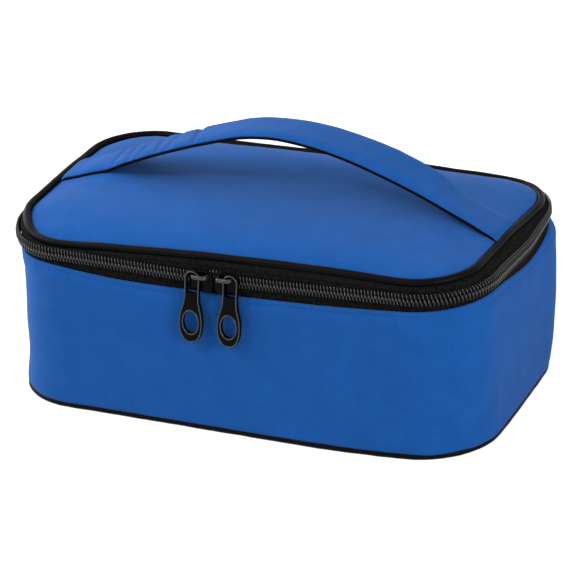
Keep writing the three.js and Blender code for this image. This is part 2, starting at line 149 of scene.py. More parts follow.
def mounds(x: np.ndarray, y: np.ndarray, table: tuple[tuple[float, ...], ...]) -> np.ndarray:
    """Mounds, each a hump in X times one in Y, from a table of height, middle and width in X, then in Y."""
    return sum(high * hump(x - mx, wx) * hump(y - my, wy) for high, mx, wx, my, wy in table)


def larger(a: np.ndarray, b: np.ndarray, softness: float) -> np.ndarray:
    """The larger of two fields, rounded where they cross: (a + b + sqrt((a - b)^2 + softness^2)) / 2."""
    return (a + b + np.sqrt((a - b) ** 2 + softness**2)) / 2


def ripples(points: np.ndarray, wavelength: float, seed: int) -> np.ndarray:
    """A soft uneven field: the sum of nine sine waves in seeded random directions, about 1 high.

    Args:
        points: An array of points, the last axis being X, Y, Z in millimetres.
        wavelength: The middle wavelength in millimetres.
        seed: Picks the pattern.

    Returns:
        One value for each point.
    """
    waves = 9
    random = np.random.default_rng(seed)
    directions = random.normal(size=(waves, 3))
    directions /= np.linalg.norm(directions, axis=1, keepdims=True)
    lengths = wavelength * random.uniform(0.7, 1.4, size=(waves, 1))
    phases = random.uniform(0, 2 * math.pi, size=waves)
    return np.sin(points @ (2 * math.pi * directions / lengths).T + phases).sum(-1) / math.sqrt(waves)


def rippled(
    points: np.ndarray, table: tuple[tuple[float, float, int], ...], crinkled: bool = False
) -> np.ndarray:
    """Ripples summed from a table of (height, wavelength, seed), or their absolute values, which crease."""
    fields = [(high, ripples(points, wavelength, seed)) for high, wavelength, seed in table]
    return sum(high * (np.abs(uneven) if crinkled else uneven) for high, uneven in fields)


def unit(vectors: np.ndarray) -> np.ndarray:
    """Vectors brought to length 1 along their last axis."""
    return vectors / np.maximum(np.linalg.norm(vectors, axis=-1, keepdims=True), 1e-12)


# Mesh helpers


@dataclass
class Shell:
    """Vertices in millimetres, faces as lists of vertex numbers, and one UV in millimetres per corner."""

    vertices: np.ndarray
    faces: list[list[int]]
    uvs: np.ndarray

    @staticmethod
    def empty() -> "Shell":
        """A shell of nothing, to add others to."""
        return Shell(np.zeros((0, 3)), [], np.zeros((0, 2)))

    def __add__(self, other: "Shell") -> "Shell":
        """Both shells as one.

        Args:
            other: The other shell.

        Returns:
            One shell.
        """
        shift = len(self.vertices)
        moved = [[corner + shift for corner in face] for face in other.faces]
        return Shell(
            np.vstack([self.vertices, other.vertices]),
            self.faces + moved,
            np.vstack([self.uvs, other.uvs]),
        )

    def moved(self, matrix: Matrix) -> "Shell":
        """The shell carried by a 4 by 4 matrix in millimetres."""
        m = np.array(matrix)
        return Shell(self.vertices @ m[:3, :3].T + m[:3, 3], self.faces, self.uvs)


def cap_faces(rows: int, columns: int, loop: bool) -> list[list[int]]:
    """The two faces that close a grid: over its end columns if the rows loop, else over its end rows.

    Args:
        rows: How many rows the grid has.
        columns: How many columns it has.
        loop: The rows are a loop.

    Returns:
        The two faces.
    """
    if loop:
        first = [row * columns for row in range(rows)]
        return [first[::-1], [at + columns - 1 for at in first]]
    first = list(range(columns))
    return [first, [(rows - 1) * columns + at for at in first][::-1]]


def grid_shell(
    points: np.ndarray, uv: np.ndarray | None = None, loop: bool = False, ring: bool = False,
    caps: bool = False,
) -> Shell:
    """Join a grid of points into quads: rows run along a path, columns run round its section.

    Seen from outside, rows run to the right where columns run up. Row r and column c make the quad
    (r, c), (r + 1, c), (r + 1, c + 1), (r, c + 1).

    Args:
        points: Rows by columns by 3.
        uv: Rows (+1 for a loop) by columns (+1 for a ring) by 2, in millimetres.
        loop: The last row joins the first.
        ring: The last column joins the first.
        caps: The two open ends are filled with one face each.

    Returns:
        The shell.
    """
    rows, columns = points.shape[:2]
    last_row, last_column = rows - (not loop), columns - (not ring)
    if uv is None:
        steps = np.meshgrid(np.arange(rows + 1), np.arange(columns + 1), indexing="ij")
        uv = np.stack(steps, -1).astype(float)
    r, c = np.meshgrid(np.arange(last_row), np.arange(last_column), indexing="ij")
    r, c = r.ravel(), c.ravel()
    corners = [(r, c), (r + 1, c), (r + 1, c + 1), (r, c + 1)]
    faces = np.stack([(a % rows) * columns + b % columns for a, b in corners], 1).tolist()
    uvs = np.stack([uv[a, b] for a, b in corners], 1).reshape(-1, 2)
    if caps:
        ends = cap_faces(rows, columns, loop)
        faces += ends
        uvs = np.vstack([uvs, np.zeros((2 * len(ends[0]), 2))])
    return Shell(points.reshape(-1, 3), faces, uvs)


def make_piece(name: str, shell: Shell, finish: Finish, merge: bool = False) -> bpy.types.Object:
    """Make a shell into an object in the scene.

    Args:
        name: The piece's name.
        shell: Its shape in millimetres.
        finish: Its finish.
        merge: Merge the points that parts of the shell share.

    Returns:
        The object.
    """
    mesh = bpy.data.meshes.new(name)
    mesh.from_pydata((shell.vertices * MM).tolist(), [], shell.faces)
    layer = mesh.uv_layers.new(name="UVMap")
    layer.uv.foreach_set("vector", shell.uvs.astype(np.float32).ravel())
    if merge:
        work = bmesh.new()
        work.from_mesh(mesh)
        bmesh.ops.remove_doubles(work, verts=work.verts, dist=1e-7)
        work.to_mesh(mesh)
        work.free()
    mesh.polygons.foreach_set("use_smooth", np.ones(len(mesh.polygons), bool))
    mesh.update()
    piece = bpy.data.objects.new(name, mesh)
    bpy.context.scene.collection.objects.link(piece)
    mesh.materials.append(finish.material)
    LOG.info("%s: %d faces", name, len(mesh.polygons))
    return piece


def settle(piece: bpy.types.Object, body: Body, *nodes: str, fill: float | None = None) -> None:
    """Say which body a piece rides on, and hide the CAD nodes it stands for.

    Args:
        piece: The piece.
        body: The body it rides on.
        nodes: The CAD nodes it stands for.
        fill: How full it is, if it is padded. Not used.
    """
    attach(piece, body.value)
    if nodes:
        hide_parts(*nodes)


def tube_shell(
    path: np.ndarray, radius: np.ndarray | float, across: np.ndarray, sides: int, loop: bool = False
) -> Shell:
    """A round tube: circles of the radius, square to the path.

    Args:
        path: Points of the centreline.
        radius: One radius, or one for each point.
        across: A direction for each point, or one for all, never along the path.
        sides: Faces round the tube.
        loop: The path is closed.

    Returns:
        The shell, with UV running along and round the tube.
    """
    ahead = np.roll(path, -1, 0) - np.roll(path, 1, 0)
    if not loop:
        ahead[0], ahead[-1] = path[1] - path[0], path[-1] - path[-2]
    ahead = unit(ahead)
    out = unit(across - ahead * (across * ahead).sum(-1, keepdims=True))
    up = np.cross(out, ahead)
    angle = np.arange(sides) * 2 * math.pi / sides
    size = np.broadcast_to(radius, len(path))[:, None, None]
    circle = out[:, None] * np.cos(angle)[:, None] + up[:, None] * np.sin(angle)[:, None]
    points = path[:, None] + circle * size
    steps = np.linalg.norm(np.diff(path, axis=0, append=path[:1]), axis=1)
    run = np.concatenate([[0], np.cumsum(steps)])
    round_it = np.arange(sides + 1) * 2 * math.pi * float(np.mean(radius)) / sides
    uv = np.stack(np.meshgrid(run, round_it, indexing="ij"), -1)
    return grid_shell(points, uv, loop=loop, ring=True, caps=not loop)


def stitch_shell(
    centres: np.ndarray, along: np.ndarray, out: np.ndarray, length: float, width: float
) -> Shell:
    """A row of thread stitches: flattened ellipsoids that lie along the seam and stand half out of it.

    Args:
        centres: The middle of each stitch.
        along: The seam's direction at each.
        out: The direction out of the cloth.
        length: One stitch's length.
        width: One stitch's width, which is also its height.

    Returns:
        The shell of all the stitches.
    """
    sides, hoops, flatness = 6, 5, 0.6
    turn = np.linspace(0, math.pi, hoops + 2)[1:-1, None]
    angle = np.arange(sides) * math.pi / (sides / 2)
    middle = np.stack([
        np.broadcast_to(-np.cos(turn), (hoops, sides)) * length / 2,
        np.sin(turn) ** flatness * np.cos(angle) * width / 2,
        np.sin(turn) ** flatness * np.sin(angle) * width / 2,
    ], -1).reshape(-1, 3)
    local = np.vstack([[[-length / 2, 0, 0]], middle, [[length / 2, 0, 0]]])
    side = [(k, (k + 1) % sides) for k in range(sides)]
    faces = [[0, 1 + after, 1 + k] for k, after in side]
    for low in range(1, 1 + sides * (hoops - 1), sides):
        faces += [[low + k, low + after, low + sides + after, low + sides + k] for k, after in side]
    end = len(local) - 1
    faces += [[end, end - sides + k, end - sides + after] for k, after in side]
    axes = np.stack([along, np.cross(out, along), out], 1)
    points = centres[:, None] + np.einsum("vk,skx->svx", local, axes)
    shifts = np.arange(len(centres)) * len(local)
    every = [[corner + int(shift) for corner in face] for shift in shifts for face in faces]
    corners = sum(len(face) for face in every)
    return Shell(points.reshape(-1, 3), every, np.zeros((corners, 2)))


def inward_normals(outline: np.ndarray) -> np.ndarray:
    """Unit normals of a closed flat outline, to the left of its direction."""
    ahead = unit(np.roll(outline, -1, 0) - np.roll(outline, 1, 0))
    return np.column_stack([-ahead[:, 1], ahead[:, 0]])


def plate_shell(outlines: list[np.ndarray], thickness: float, bevel: float) -> Shell:
    """A flat plate with rounded edges, its outlines in X and Z, its faces at Y 0 and Y -thickness.

    Round each outline, the edge is a grid: a point moves into the material by bevel * (1 - sin t) while
    it moves out of the face by bevel * (1 - cos t). The faces are triangles between the inset outlines.

    Args:
        outlines: The outer outline anticlockwise seen from -Y, then the holes clockwise, in X and Z.
        thickness: The plate's thickness.
        bevel: The radius of its rounded edges.

    Returns:
        The shell.
    """
    turn = np.linspace(0, math.pi / 2, 4)
    inset = bevel * (1 - np.sin(turn))
    sunk = bevel * (1 - np.cos(turn))
    inset = np.concatenate([inset, inset[::-1]])
    depth = np.concatenate([sunk, thickness - sunk[::-1]])
    shell = Shell.empty()
    inner = []
    for outline in outlines:
        flat = outline[:, None] + inward_normals(outline)[:, None] * inset[:, None]
        rim = np.stack([flat[..., 0], -np.broadcast_to(depth, flat.shape[:2]), flat[..., 1]], -1)
        shell = shell + grid_shell(rim, loop=True)
        inner.append(flat[:, 0])
    polygons = [[Vector((x, z, 0)) for x, z in outline] for outline in inner]
    triangles = np.array(tessellate_polygon(polygons))
    flat = np.vstack(inner)
    a, b, c = (flat[triangles[:, corner]] for corner in range(3))
    turned = (b - a)[:, 0] * (c - a)[:, 1] - (b - a)[:, 1] * (c - a)[:, 0] < 0
    triangles[turned] = triangles[turned][:, ::-1]
    for y, order in ((0.0, triangles[:, ::-1]), (-thickness, triangles)):
        face = np.column_stack([flat[:, 0], np.full(len(flat), y), flat[:, 1]])
        shell = shell + Shell(face, order.tolist(), np.zeros((3 * len(order), 2)))
    return shell


def bezier(corners: list[tuple[float, float]], steps: int) -> np.ndarray:
    """Points of a cubic Bezier curve, without its last: the Bernstein sum of its four corners.

    Args:
        corners: The four corners.
        steps: How many points.

    Returns:
        The points.
    """
    t = np.linspace(0, 1, steps, endpoint=False)[:, None]
    a, b, c, d = np.array(corners, float)
    return (1 - t) ** 3 * a + 3 * (1 - t) ** 2 * t * b + 3 * (1 - t) * t**2 * c + t**3 * d


def arc(
    centre: tuple[float, float], radius: tuple[float, float], start: float, end: float, steps: int
) -> np.ndarray:
    """Points of an elliptical arc between two angles in degrees, without its last."""
    angle = np.radians(np.linspace(start, end, steps, endpoint=False))
    return np.array(centre) + np.column_stack([radius[0] * np.cos(angle), radius[1] * np.sin(angle)])


# Finishes


def add_node(tree: bpy.types.NodeTree, kind: str, inputs: dict | None = None, **settings) -> bpy.types.Node:
    """Add a shader node with its settings, and set or link its inputs.

    Args:
        tree: The material's node tree.
        kind: The node's type name.
        inputs: Input name or number to a value, or to the socket that feeds it.
        settings: The node's own properties.

    Returns:
        The node.
    """
    node = tree.nodes.new(kind)
    for name, value in settings.items():
        setattr(node, name, value)
    for name, value in (inputs or {}).items():
        if isinstance(value, bpy.types.NodeSocket):
            tree.links.new(value, node.inputs[name])
        else:
            node.inputs[name].default_value = value
    return node


def blank_material(name: str) -> tuple[bpy.types.Material, bpy.types.NodeTree]:
    """A material with an empty node tree.

    Args:
        name: Its name.

    Returns:
        The material and its tree.
    """
    material = bpy.data.materials.new(name)
    material.use_nodes = True
    material.node_tree.nodes.clear()
    return material, material.node_tree


def thread_height(tree: bpy.types.NodeTree, pitch: float, diagonal: float) -> bpy.types.NodeSocket:
    """The height of crossing threads on the piece's UV map: sin(u) * sin(v), each one wave per pitch.

    Args:
        tree: The material's node tree.
        pitch: The thread spacing in millimetres.
        diagonal: How far the threads lean, as a twill does.

    Returns:
        A height from -1 to 1.
    """
    turn = 2 * math.pi / pitch
    uv = add_node(tree, "ShaderNodeUVMap", uv_map="UVMap")
    split = add_node(tree, "ShaderNodeSeparateXYZ", {0: uv.outputs[0]})
    u, v = split.outputs["X"], split.outputs["Y"]
    lean = add_node(tree, "ShaderNodeMath", {0: v, 1: diagonal, 2: u}, operation="MULTIPLY_ADD")
    waves = []
    for place in (lean.outputs[0], v):
        phase = add_node(tree, "ShaderNodeMath", {0: place, 1: turn}, operation="MULTIPLY")
        waves.append(add_node(tree, "ShaderNodeMath", {0: phase.outputs[0]}, operation="SINE"))
    height = {0: waves[0].outputs[0], 1: waves[1].outputs[0]}
    return add_node(tree, "ShaderNodeMath", height, operation="MULTIPLY").outputs[0]


def patches(tree: bpy.types.NodeTree, size: float, detail: float = 2.0) -> bpy.types.NodeSocket:
    """An uneven field over the object, 0 to 1, with patches of a size in millimetres.

    Args:
        tree: The node tree.
        size: The size of a patch.
        detail: How many finer layers it has.

    Returns:
        The socket of the field.
    """
    place = add_node(tree, "ShaderNodeTexCoord").outputs["Object"]
    inputs = {"Vector": place, "Scale": 1 / (size * MM), "Detail": detail}
    return add_node(tree, "ShaderNodeTexNoise", inputs).outputs[0]


@dataclass(frozen=True)
class WovenCloth:
    """Polyester cloth: crossing threads, soft mottling where the coating varies, and a fibre sheen.

    Lengths are in millimetres: the thread pitch and depth, the size of the mottling's patches and
    flecks, and the depth of slow puckers.
    """

    name: str
    slot: Slot
    dark: str
    light: str
    pitch: float
    depth: float
    roughness: float
    sheen: float
    sheen_colour: str
    diagonal: float = 0.0
    patch: float = 14.0
    fleck: float = 1.3
    pucker: float = 0.05
    specular: float = 0.04
    sheen_roughness: float = 0.5

    def make(self) -> Finish:
        """Make the material.

        Returns:
            The finish.
        """
        material, tree = blank_material(self.name)
        fields = {0: patches(tree, self.patch), 1: patches(tree, self.fleck)}
        both = add_node(tree, "ShaderNodeMath", fields, operation="ADD")
        contrast = {"Value": both.outputs[0], "From Min": 0.7, "From Max": 1.3}
        mottling = add_node(tree, "ShaderNodeMapRange", contrast)
        colours = {0: mottling.outputs[0], 6: linear(self.dark), 7: linear(self.light)}
        colour = add_node(tree, "ShaderNodeMix", colours, data_type="RGBA")
        puckers = add_node(tree, "ShaderNodeBump", {
            "Height": patches(tree, self.patch / 3), "Distance": self.pucker * MM, "Strength": 1.0,
        })
        threads = add_node(tree, "ShaderNodeBump", {
            "Height": thread_height(tree, self.pitch, self.diagonal),
            "Distance": self.depth * MM,
            "Strength": 1.0,
            "Normal": puckers.outputs[0],
        })
        shader = add_node(tree, "ShaderNodeBsdfPrincipled", {
            "Base Color": colour.outputs[2],
            "Roughness": self.roughness,
            "Specular IOR Level": self.specular,
            "Sheen Weight": self.sheen,
            "Sheen Roughness": self.sheen_roughness,
            "Sheen Tint": linear(self.sheen_colour),
            "Normal": threads.outputs[0],
        })
        add_node(tree, "ShaderNodeOutputMaterial", {"Surface": shader.outputs[0]})
        return Finish(material, self.slot)


@dataclass(frozen=True)
class MouldedPlastic:
    """Satin or glossy moulded plastic, thread, enamel or coated cord, faintly uneven in gloss and level.

    The patches' size and the depth of the unevenness are in millimetres.
    """

    name: str
    slot: Slot
    dark: str
    light: str
    roughness: float
    patch: float
    depth: float
    metallic: float = 0.0
    specular: float = 0.5
    gloss_range: float = 0.15

    def make(self) -> Finish:
        """Make the material.

        Returns:
            The finish.
        """
        material, tree = blank_material(self.name)
        uneven = patches(tree, self.patch, 3.0)
        gloss = add_node(tree, "ShaderNodeMapRange", {
            "Value": uneven,
            "To Min": self.roughness * (1 - self.gloss_range),
            "To Max": self.roughness * (1 + self.gloss_range),
        })
        colours = {0: uneven, 6: linear(self.dark), 7: linear(self.light)}
        colour = add_node(tree, "ShaderNodeMix", colours, data_type="RGBA")
        level = {"Height": uneven, "Distance": self.depth * MM, "Strength": 1.0}
        shader = add_node(tree, "ShaderNodeBsdfPrincipled", {
            "Base Color": colour.outputs[2],
            "Roughness": gloss.outputs[0],
            "Metallic": self.metallic,
            "Specular IOR Level": self.specular,
            "Normal": add_node(tree, "ShaderNodeBump", level).outputs[0],
        })
        add_node(tree, "ShaderNodeOutputMaterial", {"Surface": shader.outputs[0]})
        return Finish(material, self.slot)


class Finishes:
    """Every finish on the bag."""

    def __init__(self) -> None:
        """Make the materials."""
        # Plain woven polyester. Its threads are 0.25 mm apart, drawn at 0.8 mm so that they can show.
        self.blue = WovenCloth(
            "polyester_blue", Slot.BLUE_CLOTH, "#16539e", "#1c5baa", pitch=0.8, depth=0.012,
            roughness=0.8, sheen=0.115, sheen_colour="#dce9ff",
        ).make()
        # Zip tape is a twill: its ribs lean. They are 0.6 mm apart, drawn at 1.1 mm.
        self.black_tape = WovenCloth(
            "zip_tape_black", Slot.BLACK_CLOTH, "#060606", "#1c1c1b", pitch=1.1, depth=0.06,
            roughness=0.9, sheen=0.06, sheen_colour="#8a8884", diagonal=0.5, patch=1.6,
        ).make()
        # Bias binding is a plain weave too, 0.3 mm apart, drawn at 0.9 mm, with hardly any sheen.
        self.black_binding = WovenCloth(
            "bias_binding_black", Slot.BLACK_CLOTH, "#080808", "#0d0d0d", pitch=0.9, depth=0.02,
            roughness=0.8, sheen=0.04, sheen_colour="#77777c", patch=8.0,
        ).make()
        # The piping's cover is a close coated cloth: satin, nearly smooth.
        self.piping = MouldedPlastic(
            "piping_cover_black", Slot.PIPING, "#050505", "#0b0a0a", roughness=0.42, patch=1.6,
            depth=0.04, specular=0.05,
        ).make()
        # Zip coil is a nylon monofilament: hard, satin, with bright glints.
        self.coil = MouldedPlastic(
            "nylon_coil_black", Slot.COIL, "#161616", "#262626", roughness=0.18, patch=1.0,
            depth=0.01, specular=0.65,
        ).make()
        # Sliders and pulls are zinc castings in gloss black enamel.
        self.casting = MouldedPlastic(
            "enamelled_casting_black", Slot.CASTING, "#020202", "#040404", roughness=0.12, patch=6.0,
            depth=0.01, specular=0.045,
        ).make()
        # Painted highlight: the castings' raised rims and bridges are a lighter metallic grey than the
        # enamel, so that their edges read as glints.
        self.glint_grey_rim = MouldedPlastic(
            "rims_painted_glint_grey", Slot.CASTING, "#29292b", "#4c4c4f", roughness=0.25, patch=1.5,
            depth=0.01, metallic=0.6,
        ).make()
        # Sewing thread is spun polyester: nearly matt.
        self.blue_thread = MouldedPlastic(
            "thread_blue", Slot.BLUE_CLOTH, "#1f5cae", "#2a67ba", roughness=0.7, patch=0.8,
            depth=0.02, specular=0.1,
        ).make()
        self.black_thread = MouldedPlastic(
            "thread_black", Slot.BLACK_CLOTH, "#080808", "#0c0c0c", roughness=0.8, patch=0.8,
            depth=0.02, specular=0.1,
        ).make()
        # Closed-cell polyethylene foam: pale, matt, fine-grained.
        self.foam = MouldedPlastic(
            "polyethylene_foam", Slot.FOAM, "#d2d2ce", "#dededa", roughness=0.9, patch=1.2, depth=0.1
        ).make()
        # Foil-faced liner film: bright but crinkled.
        self.liner = MouldedPlastic(
            "liner_film_silver", Slot.LINER, "#8d9196", "#a5a9ae", roughness=0.42, patch=9.0,
            depth=0.5, metallic=0.7,
        ).make()


# The bag's soft form, which every sewn piece follows


@dataclass(frozen=True)
class Outline:
    """The outline of the base seam: a rectangle with round corners."""

    width: float = 250.0
    depth: float = 136.0
    radius: float = 32.0

    @property
    def straight_x(self) -> float:
        """Half the straight part of the front."""
        return self.width / 2 - self.radius

    @property
    def straight_y(self) -> float:
        """Half the straight part of a side."""
        return self.depth / 2 - self.radius

    @property
    def length(self) -> float:
        """The whole way round."""
        return 4 * (self.straight_x + self.straight_y) + 2 * math.pi * self.radius

    def at(self, along: np.ndarray) -> tuple[np.ndarray, np.ndarray]:
        """Points and outward normals at lengths along the outline.

        The normal's angle and the point that the corner turns about are both straight-line functions
        of the length; a point is the one plus the radius times the other.

        Args:
            along: Lengths along the outline.

        Returns:
            Points and normals, each with a last axis of X, Y, Z.
        """
        sx, sy, quarter = self.straight_x, self.straight_y, self.radius * math.pi / 2
        knots = np.cumsum([0, sx, quarter, 2 * sy, quarter, 2 * sx, quarter, 2 * sy, quarter, sx])
        place = np.mod(along, self.length)
        angle = np.radians(np.interp(place, knots, [90, 90, 180, 180, 270, 270, 360, 360, 450, 450]))
        x = np.interp(place, knots, [0, -sx, -sx, -sx, -sx, sx, sx, sx, sx, 0])
        y = np.interp(place, knots, [sy, sy, sy, -sy, -sy, -sy, -sy, sy, sy, sy])
        normal = np.stack([np.cos(angle), np.sin(angle), np.zeros_like(angle)], -1)
        return np.stack([x, y, np.zeros_like(x)], -1) + self.radius * normal, normal

    def front(self, x: float) -> float:
        """The length along the outline at an X on the front."""
        return self.length / 2 + x


@dataclass(frozen=True)
class BagForm:
    """The bag's seams, and how the soft bag sags and has slumped.

    A tuple of pairs is the knots of a smooth line. The front's lines are read at X. Tuples of three and
    of five are the tables of humps and of mounds.
    """

    outline: Outline = Outline()

    # The base seam: its piping, and how far it bows out between the corners
    base_piping_radius: float = 1.8
    base_piping_inset: float = 0.6
    base_front: tuple = (
        (-106, 0), (-85, 0.7), (-60, 1.6), (-12, 3.7), (22, 5.0), (45, 5.8), (78, 5.0), (100, 2.9),
        (120, 0.5),
    )
    back_bow: float = 2.0
    back_half: float = 104.0
    side_bow: float = 0.8
    side_half: float = 52.0

    # The wall hem
    wall_bottom: float = 2.2
    hem_side: float = 81.4
    hem_side_sag: tuple = ((5.3, 8, 31),)
    hem_front: tuple = (
        (-125, 80.4), (-112, 80.0), (-100, 80.2), (-80, 78.3), (-60, 76.7), (-25, 76.1),
        (20, 76.3), (50, 77.0), (70, 77.9), (90, 79.1), (108, 80.1), (125, 80.8),
    )

    # The zip
    zip_height: float = 86.2
    zip_sag: float = 2.5
    zip_side_sag: tuple = ((1.2, 10, 26),)
    zip_meet_x: float = -4.8

    # The lid: its piping, its seam, how far its edge droops and how its cloth is puffed
    lid_piping_radius: float = 2.0
    lid_piping_inset: float = 1.2
    lid_piping_height: float = 93.8
    lid_edge_bottom: float = 88.5
    lid_edge_height: float = 3.5
    lid_seam: tuple = ((60, 93.0), (118, 95.2))
    lid_rim: tuple = ((-122, 95.1), (-60, 96.5), (60, 96.8), (122, 96.8))
    lid_rim_roll: float = 3.6
    lid_puff: float = 5.4
    lid_half: tuple = (123, 66)
    lid_puff_edge: float = 7.0
    lid_ripples: tuple = ((0.18, 46, 5),)
    lid_ripple_edge: float = 12.0
    lid_front: tuple = (
        (-118, 2.9), (-104, 3.6), (-95, 3.7), (-79, 3.4), (-62, 2.3), (-45, 1.6), (-12, 0.4),
        (13, 0.0), (39, -0.2), (64, 0.1), (89, 0.7), (108, 0.4), (122, -0.4),
    )
    lid_back: tuple = (
        (-115, -0.3), (-95, -0.4), (-60, 0.1), (20, 0), (60, 1.1), (80, 1.6), (95, 2.2), (120, 2.4),
    )
    lid_front_y: float = -62.0
    lid_back_y: tuple = ((-125, -38), (-90, -30), (-60, 0), (60, 20), (125, 30))
    strap_pull: tuple = ((0.9, 124, 16, 0, 17), (0.6, -124, 16, 8, 17))
    strap_lift: tuple = ((3.6, -95, 14, 3, 15), (2.4, 97, 14, 0.8, 17))
    strap_lift_edge: float = 14.0

    # The slump along X: the front left corner's lean by height, and what draws the right side in
    left_reach: tuple = ((-124, 1), (-72, 0))
    left_low_reach: tuple = ((-42, 1), (4, 0))
    left_high_reach: tuple = ((-52, 1), (-32, 0))
    left_turn: tuple = ((76, 0), (88, 1))
    left_lean: tuple = ((0, -2.6), (7, -1.5), (18, 0.9), (40, 2.3), (60, 3.5), (74, 3.8), (84, 2.7))
    right_reach: tuple = ((82, 0), (124, 1))
    lid_reach: tuple = ((87, 0), (93, 1))
    lid_draw: tuple = ((2.9, -24, 40), (3.0, 32, 26))
    base_turn: tuple = ((-50, -0.6), (-30, 0), (0, 1.5), (30, 3.0), (60, 3.4))
    base_turn_height: float = 18.0
    zip_reach: tuple = ((77, 0), (81, 1), (87, 1), (91, 0))
    zip_back_reach: tuple = ((8, 0), (40, 1))
    zip_draw: float = 2.6

    def place(self, along: np.ndarray, offset: np.ndarray, height: np.ndarray) -> np.ndarray:
        """Points at lengths along, offsets outward and heights, all broadcast together.

        Args:
            along: Lengths along the outline.
            offset: Distances outward from it.
            height: Heights.

        Returns:
            The points.
        """
        along, offset, height = np.broadcast_arrays(along, offset, height)
        point, normal = self.outline.at(along)
        return point + normal * offset[..., None] + height[..., None] * UP

    def hem(self, along: np.ndarray) -> np.ndarray:
        """The wall hem's height: level at the back, sagging along the front and halfway along each side.

        Args:
            along: Lengths along the outline.

        Returns:
            Heights.
        """
        point, normal = self.outline.at(along)
        front = smooth_line(point[..., 0], self.hem_front)
        side = self.hem_side - humps(point[..., 1], self.hem_side_sag) * np.abs(normal[..., 0]) ** 2
        share = np.clip(-normal[..., 1] * 2, 0, 1)
        return side + (front - side) * share * share * (3 - 2 * share)

    def zip_line(self, along: np.ndarray) -> np.ndarray:
        """The zip's height: two straight runs on the front, lowest at the sliders, and a sag per side.

        Args:
            along: Lengths along the outline.

        Returns:
            Heights.
        """
        point, normal = self.outline.at(along)
        x = point[..., 0]
        run = self.outline.straight_x + np.sign(x - self.zip_meet_x) * -self.zip_meet_x
        sag = self.zip_sag * np.clip(1 - np.abs(x - self.zip_meet_x) / run, 0, 1)
        side_sag = humps(point[..., 1], self.zip_side_sag) * np.abs(normal[..., 0]) ** 2
        return self.zip_height - np.where(normal[..., 1] < -0.99, sag, side_sag)

    def droop(self, points: np.ndarray) -> np.ndarray:
        """How much lower the lid's edge hangs: a line along the front turning into one along the back.

        The strap's pull at its two ends is taken off.

        Args:
            points: Points in millimetres.

        Returns:
            How much lower, in millimetres.
        """
        x, y = points[..., 0], points[..., 1]
        back_y = smooth_line(x, self.lid_back_y)
        back = smooth_line((y - self.lid_front_y) / (back_y - self.lid_front_y), ((0, 0), (1, 1)))
        hang = smooth_line(x, self.lid_front) * (1 - back) + smooth_line(x, self.lid_back) * back
        return hang - mounds(x, y, self.strap_pull)

    def bow(self, along: np.ndarray) -> np.ndarray:
        """How far the base seam bows out between the corners.

        Args:
            along: Lengths along the outline.

        Returns:
            Offsets outward.
        """
        (x, y, _), (nx, ny, _) = (np.moveaxis(part, -1, 0) for part in self.outline.at(along))
        front = smooth_line(x, self.base_front) * np.clip(-ny, 0, 1) ** 3
        back = self.back_bow * np.clip(1 - (x / self.back_half) ** 2, 0, 1) * np.clip(ny, 0, 1) ** 3
        side = self.side_bow * np.clip(1 - (y / self.side_half) ** 2, 0, 1) * np.abs(nx) ** 3
        return front + back + side

    def settled(self, points: np.ndarray) -> np.ndarray:
        """Points moved along X as the soft bag has slumped out of its sewn shape.

        The front left corner leans in toward the top, the lid's right side is drawn in by the strap, and
        the base's right side turns in toward the back, as does the zip's. Each move is a product of lines
        read at X, Y and Z.

        Args:
            points: Points of the sewn shape.

        Returns:
            The moved points.
        """
        x, y, z = points[..., 0], points[..., 1], points[..., 2]
        low, high = smooth_line(y, self.left_low_reach), smooth_line(y, self.left_high_reach)
        corner = low + (high - low) * smooth_line(z, self.left_turn)
        move = smooth_line(x, self.left_reach) * corner * smooth_line(z, self.left_lean)
        right = smooth_line(x, self.right_reach)
        move = move - right * smooth_line(z, self.lid_reach) * humps(y, self.lid_draw)
        move = move - right * smooth_line(y, self.base_turn) * np.exp(-z / self.base_turn_height)
        zip_zone = smooth_line(z, self.zip_reach)
        move = move - self.zip_draw * right * zip_zone * smooth_line(y, self.zip_back_reach)
        return points + np.stack([move, 0 * move, 0 * move], -1)

    def dome(self, x: np.ndarray, y: np.ndarray, inward: np.ndarray) -> np.ndarray:
        """A pillow from 0 at the seam to 1 in the middle.

        It is (1 - (x/a)^4)(1 - (y/b)^4), brought to 0 at the seam by 1 - exp(-inward / edge).

        Args:
            x: Places along X.
            y: Places along Y.
            inward: Distances in from the seam.

        Returns:
            The height, 0 to 1.
        """
        half_x, half_y = self.lid_half
        pillow = np.clip(1 - (x / half_x) ** 4, 0, 1) * np.clip(1 - (y / half_y) ** 4, 0, 1)
        return pillow * (1 - np.exp(-inward / self.lid_puff_edge))

    def lid_surface(self, x: np.ndarray, y: np.ndarray, share: np.ndarray, rim: np.ndarray) -> np.ndarray:
        """The lid cloth's height: a quick rise out of the seam, a low dome, and a lift at the strap's ends.

        Args:
            x: X of each point.
            y: Y of each point.
            share: How far out each point lies, 0 at the middle and 1 at the seam.
            rim: How far the seam is from the middle, square to the seam.

        Returns:
            Heights.
        """
        inward = (1 - share) * rim
        seam = smooth_line(x, self.lid_seam)
        rise = (smooth_line(x, self.lid_rim) - seam) * (1 - np.exp(-inward / self.lid_rim_roll))
        lift = mounds(x, y, self.strap_lift) * np.clip(inward / self.strap_lift_edge, 0, 1)
        points = np.stack([x, y, np.zeros_like(x)], -1)
        uneven = rippled(points, self.lid_ripples) * np.clip(inward / self.lid_ripple_edge, 0, 1)
        height = seam + rise + self.lid_puff * self.dome(x, y, inward) + lift + uneven
        return height - self.droop(points) * share**2


FORM = BagForm()


